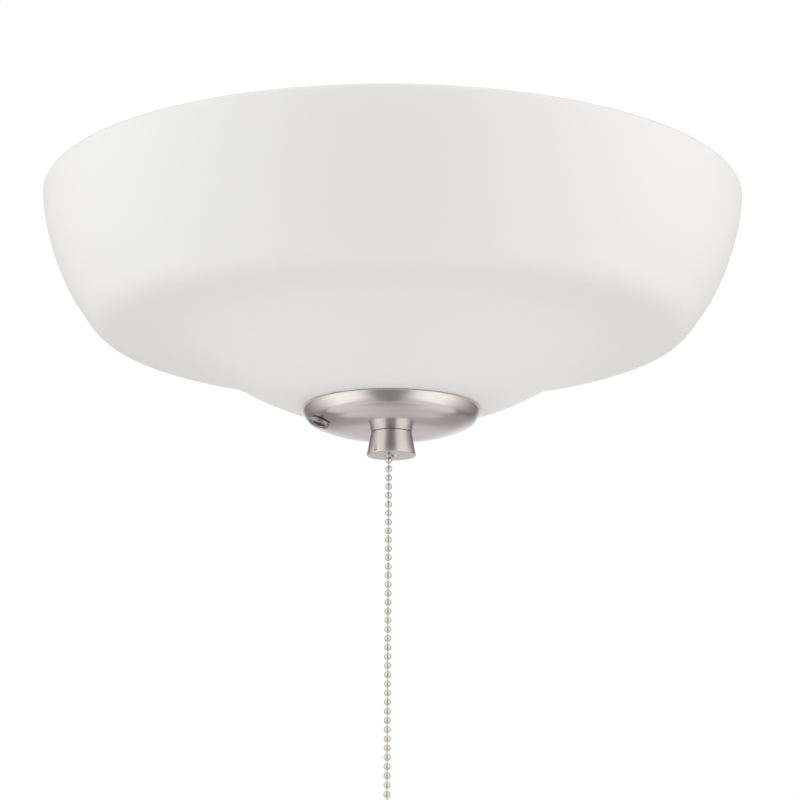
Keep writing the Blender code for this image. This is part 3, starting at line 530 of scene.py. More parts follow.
class Finish(Graph):
    """A material: a graph and the Principled shader that it feeds."""

    def __init__(self, name, tint, roughness, metallic=0.0):
        self.tint = tint
        self.material = bpy.data.materials.new(name)
        self.material.use_nodes = True
        super().__init__(self.material.node_tree)
        self.shader = self.tree.nodes["Principled BSDF"]
        self.set({"Base Color": (*tint, 1.0), "Roughness": roughness, "Metallic": metallic})
        self.material.diffuse_color = (*tint, 1.0)

    def set(self, values):
        """Set or link the shader's sockets."""
        for name, value in values.items():
            self.feed(self.shader.inputs[name], value)

    def show(self, surface):
        """Show another shader than the Principled one."""
        self.feed(self.tree.nodes["Material Output"].inputs["Surface"], surface)

    def shade(self, share):
        """The tint times a share."""
        return (*(channel * share for channel in self.tint), 1.0)

    def wear(self, cloud, dark, light, roughness):
        """Let the colour drift between two colours, with a roughness that changes over the surface."""
        self.set({"Base Color": self.blend(cloud, dark, light), "Roughness": roughness})

    def bump(self, height, distance, strength=1.0):
        """Raise the surface by a height that runs from 0 to 1, times a distance. Returns the material."""
        values = {"Height": height, "Distance": distance, "Strength": strength}
        self.set({"Normal": self.node("ShaderNodeBump", None, values)})
        return self.material


def opal_finish(look):
    """Satin opal glass: etched outside, fire-polished rim, and a faint wave from the mould."""
    made = Finish("opal_glass", look.tint, look.satin)
    place = made.place()
    cloud = made.noise(place, 9.0)
    frost = made.noise(place, 900.0, 3.0)
    mottle = made.noise(place, 60.0)
    rim = (made.split(place)[2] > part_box("glass_bowl")[1].z - FIRE_POLISH).held()
    rough = look.satin + (mottle - 0.5) * 0.08 + (frost - 0.5) * 0.06 - rim * 0.2
    made.wear(cloud, made.shade(0.985), made.shade(1.01), rough)
    made.set({"Subsurface Weight": 0.15, "Subsurface Scale": 2.5 * MM, "IOR": 1.5})
    made.set({"Subsurface Radius": (1.0, 0.95, 0.85)})
    return made.bump(cloud * 0.92 + frost * 0.004, 0.8 * MM, 0.5)


def nickel_finish(look):
    """Brushed nickel with its lines running round the piece's own axis."""
    made = Finish("brushed_nickel", look.tint, look.roughness, 1.0)
    x, y, z = made.split(made.place())
    radius = (x * x + y * y).root()
    around = made.vector(radius / look.grain, z / look.grain, x / radius * AROUND)
    lines = made.noise(around, 1.0, 3.0, y / radius * AROUND)
    patches = made.noise(made.place(), 120.0)
    rough = look.roughness + (lines - 0.5) * 0.14 + (patches - 0.5) * 0.05
    made.wear(lines, made.shade(0.93), made.shade(1.06), rough)
    made.set({"Anisotropic": 0.6, "Anisotropic Rotation": 0.25})
    return made.bump(lines, 0.02 * MM, 0.22)


def chain_finish(look):
    """Bright plated beads with fine handling marks."""
    made = Finish("plated_chain", look.tint, 0.14, 1.0)
    marks = made.noise(made.place(), 1400.0, 3.0)
    tarnish = made.noise(made.place(), 160.0)
    made.wear(tarnish, made.shade(0.86), made.shade(1.04), 0.12 + marks * 0.1)
    return made.bump(marks, 0.02 * MM, 0.25)


def coat_finish(look):
    """Satin nickel-coloured coat on sheet steel, with the fine orange peel of a sprayed coat."""
    made = Finish("coated_steel", look.coat, 0.38, 0.85)
    peel = made.noise(made.place(), 1100.0)
    cloud = made.noise(made.place(), 45.0, 3.0)
    made.wear(cloud, made.shade(0.92), made.shade(1.05), 0.34 + cloud * 0.08 + (peel - 0.5) * 0.05)
    return made.bump(peel, 0.03 * MM, 0.4)


def zinc_finish(look):
    """Zinc plate: fine crystals and slightly uneven brightness."""
    made = Finish("zinc_plate", look.zinc, 0.34, 1.0)
    crystal = made.node("ShaderNodeTexVoronoi", None, {"Vector": made.place(), "Scale": 900.0})
    cloud = made.noise(made.place(), 150.0, 3.0)
    made.wear(cloud, made.shade(0.84), (0.72, 0.72, 0.66, 1.0), 0.26 + crystal * 0.14 + cloud * 0.06)
    return made.bump(crystal, 0.02 * MM, 0.3)


def drawn_finish(name, tint, roughness):
    """Drawn or rolled metal with faint lines round its own axis and a little tarnish."""
    made = Finish(name, tint, roughness, 1.0)
    place = made.place()
    lines = made.noise(made.vector(0.0, 0.0, made.split(place)[2]), 6000.0)
    tarnish = made.noise(place, 260.0, 3.0)
    rough = roughness + (lines - 0.5) * 0.12 + (tarnish - 0.5) * 0.1
    made.wear(tarnish, made.shade(0.72), made.shade(1.05), rough)
    return made.bump(lines, 0.02 * MM, 0.3)


def moulded_finish(name, tint, roughness, grain_scale, grain_depth, sheen=0.0):
    """A moulded plastic or rubber with a fine grain and slow changes of gloss."""
    made = Finish(name, tint, roughness)
    grain = made.noise(made.place(), grain_scale, 3.0)
    flow = made.noise(made.place(), 70.0)
    rough = roughness + (grain - 0.5) * 0.12 + (flow - 0.5) * 0.1
    made.wear(flow, made.shade(0.8), made.shade(1.15), rough)
    made.set({"Sheen Weight": sheen})
    return made.bump(grain, grain_depth, 0.5)


def bulb_finish(look):
    """Frosted lamp glass, a little darker towards the neck."""
    made = Finish("frosted_lamp_glass", look.bulb, 0.36)
    place = made.place()
    frost = made.noise(place, 1300.0, 3.0)
    cloud = made.noise(place, 55.0)
    along = {"Value": made.split(place)[2], "From Min": 0.034, "From Max": 0.06}
    neck = made.node("ShaderNodeMapRange", None, along)
    made.wear(neck, made.shade(0.9), made.shade(1.0), 0.32 + frost * 0.08 + (cloud - 0.5) * 0.06)
    made.set({"Subsurface Weight": 0.2, "Subsurface Scale": 2.0 * MM})
    return made.bump(frost, 0.01 * MM, 0.4)


def finishes():
    kit = bpy.context.scene.light_kit
    if not KIT_FINISHES:
        KIT_FINISHES.update(
            opal_glass=opal_finish(kit.glass),
            brushed_nickel=nickel_finish(kit.nickel),
            # The ferrule's finish is a darker copy of the nickel, which paints the shade on its side
            stamped_nickel=drawn_finish("stamped_nickel", kit.nickel.stamped, 0.34),
            plated_chain=chain_finish(kit.chain),
            coated_steel=coat_finish(kit.fitter),
            zinc_plate=zinc_finish(kit.fitter),
            brass=drawn_finish("brass", kit.lamps.brass, 0.28),
            lamp_cap_metal=drawn_finish("lamp_cap_metal", (0.7, 0.69, 0.66), 0.3),
            phenolic=moulded_finish("phenolic", kit.lamps.moulding, 0.42, 1500.0, 0.02 * MM),
            rubber=moulded_finish("rubber", (0.035, 0.035, 0.036), 0.68, 900.0, 0.04 * MM, 0.2),
            silicone=moulded_finish("silicone", (0.78, 0.78, 0.75), 0.5, 600.0, 0.02 * MM),
            lamp_glass=bulb_finish(kit.lamps),
        )
    return KIT_FINISHES


KIT_FINISHES = {}


def curve(start, start_slope, end, end_slope, handle, count):
    """Points of a cubic from one (radius, height) to a lower, inner one, without its first point."""
    chord = math.dist(start, end) * handle
    a, b = math.radians(start_slope), math.radians(end_slope)
    first = (start[0] - chord * math.cos(a), start[1] - chord * math.sin(a))
    second = (end[0] + chord * math.cos(b), end[1] + chord * math.sin(b))
    places = (start, first, second, end)
    points = []
    for index in range(1, count + 1):
        t = index / count
        weights = ((1 - t) ** 3, 3 * t * (1 - t) ** 2, 3 * t * t * (1 - t), t**3)
        points.append(tuple(sum(w * p[axis] for w, p in zip(weights, places)) for axis in (0, 1)))
    return points


def dish_line(node, rim, shares, foot, handles, counts):
    """The outline down a node's outside: cubics through stations of ((radius, height), slope)."""
    low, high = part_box(node)
    stations = [rim]
    for across, down, slope in shares:
        stations.append(((high.x * across, high.z - (high.z - low.z) * down), slope))
    stations.append(foot)
    line = [rim[0]]
    for (start, a), (end, b), handle, count in zip(stations, stations[1:], handles, counts):
        line += curve(start, a, end, b, handle, count)
    return line


def inset(points, distance):
    """Move an outline that runs inwards and down to its upper, inner side."""
    moved = []
    for index, (radius, height) in enumerate(points):
        before = points[max(index - 1, 0)]
        after = points[min(index + 1, len(points) - 1)]
        along = math.dist(before, after)
        run = (before[0] - after[0]) / along
        fall = (before[1] - after[1]) / along
        moved.append((radius - distance * fall, height + distance * run))
    return moved


def arc(centre, radius, first, last, count):
    """Points on an arc about a (radius, height) centre, angles in degrees."""
    angles = [math.radians(first + (last - first) * index / count) for index in range(count + 1)]
    return [(centre[0] + radius * math.cos(a), centre[1] + radius * math.sin(a)) for a in angles]


def ring(inner, outer, low, high):
    """A rectangular section."""
    return [(inner, low), (outer, low), (outer, high), (inner, high)]


def eased(outline, radius, closed=True):
    """Round an outline's sharp corners, but not on the axis or at the ends of an open outline.

    A point beside each rounding keeps the flats next to it flat in the shading.
    """
    points = []
    for index, corner in enumerate(outline):
        here = Vector(corner)
        back = Vector(outline[index - 1]) - here
        onward = Vector(outline[(index + 1) % len(outline)]) - here
        end_point = not closed and index in (0, len(outline) - 1)
        if corner[0] < WELD or end_point or (-back).angle(onward) < EASE_ANGLE:
            points.append(corner)
            continue
        start = back.normalized() * min(radius, back.length / HOLD / 2)
        end = onward.normalized() * min(radius, onward.length / HOLD / 2)
        points.append(tuple(here + start * HOLD))
        for step in range(EASE_STEPS + 1):
            t = step / EASE_STEPS
            points.append(tuple(here + start * (1 - t) ** 2 + end * t**2))
        points.append(tuple(here + end * HOLD))
    return points


def smooth_line(stations, steps):
    """A Catmull-Rom line through (radius, height) stations, ending flat on the axis."""
    ends = [stations[0]] + stations + [(-stations[-2][0], stations[-2][1])]
    points = []
    for places in zip(ends, ends[1:], ends[2:], ends[3:]):
        for index in range(steps):
            t = index / steps
            point = []
            for a, b, c, d in zip(*places):
                square = (2 * a - 5 * b + 4 * c - d) * t**2
                cube = (3 * b - a - 3 * c + d) * t**3
                point.append(0.5 * (2 * b + (c - a) * t + square + cube))
            points.append((max(point[0], 0.0), point[1]))
    return points + [stations[-1]]


def thread(radius, depth, start, end, pitch):
    """A thread's crests and roots along a run of heights."""
    count = max(1, int(abs(end - start) / pitch))
    step = (end - start) / count
    points = []
    for index in range(count):
        for share, fall in THREAD_FORM:
            points.append((radius - depth * fall, start + step * (index + share)))
    return points


def add(name, data):
    """A new object in the scene."""
    made = bpy.data.objects.new(name, data)
    bpy.context.scene.collection.objects.link(made)
    return made


def smooth(mesh):
    """Shade a mesh smooth between its sharp edges."""
    mesh.shade_smooth()
    mesh.set_sharp_from_angle(angle=SHARP_ANGLE)


def to_object(bm, name, finish=None):
    """Weld and turn a bmesh into a shaded object, with a finish by name."""
    bmesh.ops.remove_doubles(bm, verts=bm.verts, dist=WELD)
    bmesh.ops.recalc_face_normals(bm, faces=bm.faces)
    mesh = bpy.data.meshes.new(name)
    bm.to_mesh(mesh)
    bm.free()
    if finish:
        mesh.materials.append(finishes()[finish])
    smooth(mesh)
    return add(name, mesh)


def lathe(name, outline, facets, finish=None):
    """Turn an outline of (radius, height) points about Z. It closes on itself unless it ends on the axis."""
    bm = bmesh.new()
    line = [bm.verts.new((radius, 0.0, height)) for radius, height in outline]
    pairs = list(zip(line, line[1:]))
    if outline[0][0] > WELD or outline[-1][0] > WELD:
        pairs.append((line[-1], line[0]))
    swept = line + [bm.edges.new(pair) for pair in pairs]
    up = (0.0, 0.0, 1.0)
    bmesh.ops.spin(bm, geom=swept, cent=(0.0,) * 3, axis=up, angle=TURN, steps=facets, use_merge=True)
    return to_object(bm, name, finish)


def prism(name, outline, depth, finish=None, matrix=None):
    """Extrude an outline of (x, z) points to both sides of the XZ plane."""
    bm = bmesh.new()
    face = bm.faces.new([bm.verts.new((x, -depth / 2, z)) for x, z in outline])
    pushed = bmesh.ops.extrude_face_region(bm, geom=[face])["geom"]
    moved = [item for item in pushed if isinstance(item, bmesh.types.BMVert)]
    bmesh.ops.translate(bm, verts=moved, vec=(0.0, depth, 0.0))
    if matrix is not None:
        bmesh.ops.transform(bm, verts=bm.verts, matrix=matrix)
    return to_object(bm, name, finish)


def drill(radius, low, high, place=(0.0, 0.0, 0.0), facets=FACETS):
    """A round cutter about a place's Z."""
    cutter = lathe("cutter", ring(0.0, radius, low, high), facets)
    cutter.location = place
    return cutter


def drills(radius, low, high, places):
    """Clearance holes for a shank at some places."""
    return [drill(radius + GAP, low, high, place) for place in places]


def chain_drill(low, high):
    """The hole that the fan's own chain takes through the sheets, above the ferrule."""
    return drill(CHAIN_HOLE_RADIUS, low, high, polar(FERRULE_PLACE, FERRULE_AZIMUTH))


def settle(piece):
    """Apply a piece's modifiers."""
    bpy.context.view_layer.update()
    shaped = piece.evaluated_get(bpy.context.evaluated_depsgraph_get())
    mesh = bpy.data.meshes.new_from_object(shaped)
    piece.modifiers.clear()
    old = piece.data
    piece.data = mesh
    bpy.data.meshes.remove(old)
    smooth(mesh)
    return piece


def carve(piece, tools, operation="DIFFERENCE"):
    """Cut tools out of a piece, or join or intersect them, and remove the tools."""
    for tool in tools:
        step = piece.modifiers.new("carve", "BOOLEAN")
        step.operation = operation
        step.object = tool
    settle(piece)
    for tool in tools:
        bpy.data.objects.remove(tool)
    return piece


def soften(piece, width):
    """Round a piece's sharp edges."""
    step = piece.modifiers.new("edges", "BEVEL")
    step.width = width
    step.segments = 2
    step.limit_method = "ANGLE"
    step.angle_limit = SHARP_ANGLE
    step.use_clamp_overlap = True
    return settle(piece)


def polar(radius, azimuth, height=0.0):
    """The point at a radius and azimuth about Z."""
    return Vector((radius * math.cos(azimuth), radius * math.sin(azimuth), height))


def spread(first, count=3):
    """Evenly spaced azimuths."""
    return [first + index * TURN / count for index in range(count)]


def aim(radius, azimuth, height):
    """The frame at a place on a circle about Z, with its own Z pointing outwards."""
    turn = Matrix.Rotation(azimuth, 4, "Z") @ Matrix.Rotation(QUARTER, 4, "Y")
    return Matrix.Translation(polar(radius, azimuth, height)) @ turn


def seat(piece, body, slot, *nodes):
    """Let a piece ride on a body and stand it in for its nodes. Its slot is not used."""
    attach(piece, body)
    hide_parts(*nodes)
    return piece


def turned(name, outline, facets, finish, body, node):
    """Turn an outline with its finish and seat it for a node."""
    seat(lathe(name, outline, facets, finish), body, finish, node)


def seat_copies(model, name, node, slot, matrices):
    """Seat a copy of a model at each matrix on the fitter, for the node of that number."""
    for index, matrix in enumerate(matrices, start=1):
        piece = add(f"{name}_{index}", model.data)
        piece.matrix_world = matrix
        seat(piece, "fitter", slot, f"{node}_{index}")
    bpy.data.objects.remove(model)


def middle(node):
    """The middle of a node's box."""
    low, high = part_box(node)
    return (low + high) / 2


def reach(node, start=0.0):
    """Where a piece of the near lamp starts and ends along the lamp, and its radius."""
    low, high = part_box(node)
    return -high.y - start, -low.y - start, (high.z - low.z) / 2


def pipe_hole():
    """The radius of a hole that the pipe passes."""
    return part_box("centre_pipe")[1].x + GAP


def plate_screw_places(height=0.0):
    """Where the screws stand that join the plate to the pan's lip."""
    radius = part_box("fitter_pan")[1].x - PAN_WALL - PAN_LIP / 2
    return [polar(radius, azimuth, height) for azimuth in spread(-LUG_AZIMUTH)]


def bracket_screw_places(height=0.0):
    """Where the bracket's screws stand."""
    low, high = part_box("bracket_screw_2")
    return [Vector((0.0, side * (low.y + high.y) / 2, height)) for side in (-1, 1)]


def screws(name, node, matrices, shank, head, length):
    """Pan-head screws with a cross recess. Each points along +Z from its head's flat face."""
    rise = head * HEAD_RISE_SHARE
    neck = shank * SCREW_NECK_SHARE
    outline = [(0.0, length), (shank * SCREW_TIP_SHARE, length), (neck, length - neck)]
    outline += thread(shank, shank * SCREW_THREAD_SHARE, length - shank, 0.0, SCREW_PITCH)
    outline += [(neck, 0.0)]
    side = [outline[-1], (head, 0.0), (head, -rise * HEAD_SIDE_SHARE)]
    outline += eased(side, SCREW_EDGE, closed=False)[1:-1]
    for angle in HEAD_CROWN:
        crown = HEAD_SIDE_SHARE + (1 - HEAD_SIDE_SHARE) * math.sin(angle)
        outline.append((head * math.cos(angle), -rise * crown))
    outline += [(0.0, -rise)]
    screw = lathe(name, outline, SCREW_FACETS, "zinc_plate")
    mouth, foot, width, depth = RECESS_SHARES
    low, high = -rise - OVERRUN, -rise * depth
    arm = [(-head * mouth, low), (head * mouth, low), (head * foot, high), (-head * foot, high)]
    turns = [Matrix.Rotation(turn, 4, "Z") for turn in (0.0, QUARTER)]
    carve(screw, [prism("cutter", arm, head * width, matrix=turn) for turn in turns])
    seat_copies(screw, name, node, "zinc_plate", matrices)


def hex_nut(name, node, bore):
    """A chamfered hexagonal nut that fills its node's box."""
    low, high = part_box(node)
    flats = min(high.x - low.x, high.y - low.y) / 2
    corner = flats / math.cos(TURN / 12)
    chamfer = (corner - flats) * NUT_CHAMFER_SHARE
    outline = [(bore, low.z), (flats, low.z), (corner, low.z + chamfer)]
    outline += [(corner, high.z - chamfer), (flats, high.z), (bore, high.z)]
    outline += thread(bore + THREAD_DEPTH, -THREAD_DEPTH, high.z, low.z, THREAD_PITCH)
    nut = lathe(name, outline, RING_FACETS, "zinc_plate")
    sides = [(corner * math.cos(a), corner * math.sin(a)) for a in spread(0.0, 6)]
    lift = Matrix.Translation((0.0, 0.0, middle(node).z)) @ Matrix.Rotation(QUARTER, 4, "X")
    hexagon = prism("cutter", sides, (high.z - low.z) * 2, matrix=lift)
    carve(nut, [hexagon], "INTERSECT")
    seat(soften(nut, NUT_EDGE), "fitter", "zinc_plate", node)


class MakeBowl(bpy.types.Operator):
    """Make the opal glass bowl and the gasket under it"""

    bl_idname = "light_kit.bowl"
    bl_label = "Glass bowl"

    def execute(self, context):
        look = context.scene.light_kit.glass
        low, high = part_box("glass_bowl")
        rim = ((high.x, high.z - look.wall / 2), 90.0)
        foot = ((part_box("bottom_cap")[1].x + SEAT_OUTER_MARGIN, low.z), BOWL_SEAT_SLOPE)
        outer = dish_line("glass_bowl", rim, BOWL_STATION_SHARES, foot, BOWL_HANDLE_SHARES, BOWL_COUNTS)
        seat_inner = outer[-1][0] - look.seat_width
        rim_centre = (high.x - look.wall / 2, high.z - look.wall / 2)
        outline = arc(rim_centre, look.wall / 2, 180, 0, RIM_STEPS)[:-1] + outer
        outline += [(seat_inner, low.z), (seat_inner, low.z + look.wall)]
        outline += inset(outer, look.wall)[:0:-1]
        turned("bowl_glass", eased(outline, GLASS_EDGE), look.facets, "opal_glass", "bowl", "glass_bowl")
        low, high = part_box("bowl_gasket")
        section = eased(ring(high.x - GASKET_INSIDE, high.x - GASKET_OUTSIDE, low.z, high.z), GASKET_EDGE)
        turned("gasket_ring", section, look.facets, "silicone", "bowl", "bowl_gasket")
        return {"FINISHED"}


class MakeCap(bpy.types.Operator):
    """Make the spun cap and the ferrule in its side"""

    bl_idname = "light_kit.cap"
    bl_label = "Cap and ferrule"

    def execute(self, context):
        look = context.scene.light_kit.nickel
        low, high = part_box("bottom_cap")
        rim = ((high.x, high.z - CAP_HEM), CAP_RIM_SLOPE)
        foot = ((FINIAL_TOP_RADIUS, low.z), CAP_BOSS_SLOPE)
        outer = dish_line("bottom_cap", rim, CAP_STATION_SHARES, foot, CAP_HANDLE_SHARES, CAP_COUNTS)
        inner = inset(outer, CAP_WALL)
        hole = pipe_hole()
        shelf = high.x - CAP_SHELF
        under_shelf = high.z - CAP_WALL
        crest = high.z + CAP_LIP
        lip = [(high.x - 2 * CAP_HEM, crest), (high.x, crest), outer[0]]
        outline = eased(lip, CAP_LIP_RADIUS, closed=False)[:-1] + outer
        outline += [(hole, low.z), (hole, low.z + CAP_WALL)]
        outline += inner[:1:-1]
        outline += [(inner[1][0] - CAP_WALL / 2, under_shelf), (shelf, under_shelf), (shelf, high.z)]
        outline += [(high.x - 2 * CAP_HEM, high.z)]
        cap = lathe("cap_shell", outline, look.facets, "brushed_nickel")
        place = self.ferrule_seat(outer)
        tool = drill(FERRULE_SHANK + GAP, -CAP_WALL - OVERRUN, CAP_WALL + OVERRUN)
        tool.matrix_world = place
        seat(carve(cap, [tool]), "bowl", "brushed_nickel", "bottom_cap")
        inside = CAP_WALL + 2 * GAP
        end = inside + FERRULE_INSIDE
        section = ring(FERRULE_BORE, FERRULE_FLANGE, -GAP - FERRULE_HEIGHT, -FERRULE_LIFT)[:3]
        section += [(FERRULE_SHANK, -FERRULE_LIFT), (FERRULE_SHANK, inside)]
        section += [(FERRULE_FLARE, inside + FERRULE_INSIDE / 2), (FERRULE_FLARE, end), (FERRULE_BORE, end)]
        # The ferrule takes the darker copy of the nickel, painted shade for its side
        ferrule = lathe("ferrule_ring", eased(section, FERRULE_EDGE), FERRULE_FACETS, "stamped_nickel")
        ferrule.matrix_world = place
        seat(ferrule, "bowl", "brushed_nickel", "outlet_ferrule")
        return {"FINISHED"}

    def ferrule_seat(self, line):
        """The frame on the cap's outer face, with +Z into the cap."""
        for (r0, z0), (r1, z1) in zip(line, line[1:]):
            if r1 <= FERRULE_PLACE <= r0:
                slope = (z0 - z1) / (r0 - r1)
                height = z0 - slope * (r0 - FERRULE_PLACE)
        tilt = Matrix.Rotation(-math.atan(slope), 4, "Y")
        place = Matrix.Translation((FERRULE_PLACE, 0.0, height)) @ tilt
        return Matrix.Rotation(FERRULE_AZIMUTH, 4, "Z") @ place


class MakeFinial(bpy.types.Operator):
    """Make the threaded finial"""

    bl_idname = "light_kit.finial"
    bl_label = "Finial"

    def execute(self, context):
        low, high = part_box("finial")
        hole = pipe_hole()
        step = high.z - FINIAL_THREAD_DEPTH
        top = high.z + FINIAL_SEAT
        outline = [(FINIAL_BORE, step), (FINIAL_BORE, low.z + FINIAL_COUNTERSINK), (FINIAL_MOUTH, low.z)]
        foot = [outline[-1], (high.x, low.z), (FINIAL_TOP_RADIUS, top)]
        outline += eased(foot, FINIAL_EDGE, closed=False)[1:-1]
        lip = [outline[-1], (FINIAL_TOP_RADIUS, top), (hole, top)]
        outline += eased(lip, FINIAL_LIP, closed=False)[1:]
        crest, start = hole + FINIAL_THREAD_MARGIN, high.z - FINIAL_LEAD
        outline += thread(crest, -FINIAL_THREAD_RISE, start, step, THREAD_PITCH)
        outline += [(hole, step)]
        facets = context.scene.light_kit.nickel.facets
        turned("finial_body", outline, facets, "brushed_nickel", "finial", "finial")
        return {"FINISHED"}


class MakeChain(bpy.types.Operator):
    """Make the ball chain in its three runs, and the bell on its end"""

    bl_idname = "light_kit.chain"
    bl_label = "Ball chain"

    def execute(self, context):
        look = context.scene.light_kit.chain
        pivot = middle("pivot_bead")
        link_start = look.bead_radius - BEAD_DIMPLE
        link = look.pitch - link_start
        hanging = round((pivot.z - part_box("pull_chain")[0].z - look.pitch / 2) / look.pitch)
        upper = round((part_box("chain_upper")[1].z - pivot.z - look.pitch / 2) / look.pitch)
        tilt = math.degrees(math.acos(BEAD_HOLE_RADIUS / look.bead_radius))
        ends = look.bead_radius * math.sin(math.radians(tilt)) - BEAD_DIMPLE
        ball = arc((0.0, 0.0), look.bead_radius, tilt, -tilt, BEAD_RINGS)
        bead = [(look.link_radius, ends), (BEAD_LIP_RADIUS, ends), *ball]
        bead += [(BEAD_LIP_RADIUS, -ends), (look.link_radius, -ends)]
        inside = self.run(look, "chain_inside", bead, upper * look.pitch, upper, ends, link)
        lone = [(0.0, ends), *ball, (0.0, -ends)]
        swivel = lathe("chain_swivel_bead", lone, look.facets, "plated_chain")
        hung = self.run(look, "chain_hanging", bead, -look.pitch, hanging, link, look.pitch / 2)
        bell = self.bell(look, pivot.z)
        for piece, body, slot, node in (
            (inside, "chain_draw", "plated_chain", "chain_upper"),
            (swivel, "chain_pivot", "plated_chain", "pivot_bead"),
            (hung, "chain_hang", "plated_chain", "pull_chain"),
            (bell, "chain_hang", "brushed_nickel", "chain_bell"),
        ):
            piece.matrix_world = Matrix.Translation(pivot)
            seat(piece, body, slot, node)
        top = pivot.z - link_start
        length = hanging * look.pitch + look.pitch / 2 - link_start
        drops = [length * index / PATH_STEPS for index in range(PATH_STEPS + 1)]
        [(pivot.x, pivot.y, top - drop) for drop in drops]
        return {"FINISHED"}

    def run(self, look, name, bead, first, count, above, below):
        """Beads down from a first height, with some link above the first and below the last."""
        outline = [(0.0, first + above), (look.link_radius, first + above)]
        for index in range(count):
            height = first - index * look.pitch
            outline += [(radius, height + rise) for radius, rise in bead]
        outline += [(look.link_radius, height - below), (0.0, height - below)]
        return lathe(name, outline, look.facets, "plated_chain")

    def bell(self, look, pivot):
        """The bell: a crimped neck, a flared skirt and an open mouth."""
        low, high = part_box("chain_bell")
        top, foot = high.z - pivot, low.z - pivot
        length = top - foot
        radius = (high.x - low.x) / 2
        mouth, roof = BELL_MOUTH_SHARES
        outline = [(0.0, top + GAP / 2), (look.link_radius + BELL_NECK, top + GAP / 2)]
        outline += [(radius * share, top - length * along) for along, share in BELL_SHAPE_SHARES]
        outline += [(radius * mouth, foot), (radius * roof, foot + length / 3), (0.0, foot + length / 3)]
        return lathe("chain_end_bell", eased(outline, BELL_EDGE), FACETS, "brushed_nickel")


class MakePan(bpy.types.Operator):
    """Make the drawn pan with its keyholes, and the rubber grommet"""

    bl_idname = "light_kit.pan"
    bl_label = "Fitter pan"

    def execute(self, context):
        low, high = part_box("fitter_pan")
        inner = high.x - PAN_WALL
        lip = inner - PAN_LIP
        bend = (high.x - PAN_CORNER, high.z - PAN_CORNER)
        dish_floor = high.z - DISH_DEPTH
        dish_edge = DISH_RADIUS + DISH_DEPTH
        shift = PAN_WALL * math.tan(QUARTER / 4)
        outline = [(0.0, dish_floor), (DISH_RADIUS, dish_floor), (dish_edge, high.z)]
        outline += arc(bend, PAN_CORNER, 90, 0, BEND_STEPS)
        outline += [(high.x, low.z), (lip, low.z), (lip, low.z + PAN_WALL), (inner, low.z + PAN_WALL)]
        outline += arc(bend, PAN_CORNER - PAN_WALL, 0, 90, BEND_STEPS)
        outline += [(dish_edge + shift, high.z - PAN_WALL), (DISH_RADIUS + shift, dish_floor - PAN_WALL)]
        outline += [(0.0, dish_floor - PAN_WALL)]
        facets = context.scene.light_kit.fitter.facets
        pan = lathe("pan_shell", eased(outline, PAN_EDGE), facets, "coated_steel")
        bottom, top = high.z - PAN_WALL - OVERRUN, high.z + OVERRUN
        tools = [drill(WIRE_HOLE_RADIUS, bottom - DISH_DEPTH, top, facets=CASE_FACETS)]
        tools += [self.keyhole(azimuth, bottom, top) for azimuth in spread(KEYHOLE_AZIMUTH)]
        tools.append(chain_drill(bottom, top))
        lip_top = low.z + PAN_WALL
        tools += drills(LARGE_SHANK, low.z - OVERRUN, lip_top + OVERRUN, plate_screw_places())
        carve(pan, tools)
        seat(soften(pan, PAN_BURR), "fitter", "coated_steel", "fitter_pan")
        low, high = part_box("wire_grommet")
        waist = WIRE_HOLE_RADIUS - GAP
        top = GAP - DISH_DEPTH
        bottom = top - PAN_WALL - 2 * GAP
        section = [(GROMMET_BORE, high.z), (waist, high.z), (high.x, (high.z + top) / 2), (high.x, top)]
        section += [(waist, top), (waist, bottom), (high.x, bottom), (high.x, (low.z + bottom) / 2)]
        section += [(waist, low.z), (GROMMET_BORE, low.z)]
        section = eased(section, GROMMET_EDGE)
        turned("grommet_ring", section, RING_FACETS, "rubber", "fitter", "wire_grommet")
        return {"FINISHED"}

    def keyhole(self, azimuth, bottom, top):
        """A cutter for one keyhole: a round entry with a slot that runs along the circle."""
        half = math.degrees(math.asin(KEYHOLE_SLOT_RADIUS / KEYHOLE_ENTRY_RADIUS))
        entry_steps, slot_steps = KEYHOLE_STEPS
        outline = arc((0.0, 0.0), KEYHOLE_ENTRY_RADIUS, half, 360 - half, entry_steps)
        outline += arc((KEYHOLE_TRAVEL, 0.0), KEYHOLE_SLOT_RADIUS, -90, 90, slot_steps)
        lay = Matrix.Translation((0.0, 0.0, (bottom + top) / 2)) @ Matrix.Rotation(QUARTER, 4, "X")
        cutter = prism("cutter", outline, top - bottom, matrix=lay)
        cutter.location = polar(KEYHOLE_CIRCLE_RADIUS, azimuth)
        cutter.rotation_euler.z = azimuth + QUARTER + KEYHOLE_TRAVEL / KEYHOLE_CIRCLE_RADIUS / 2
        return cutter


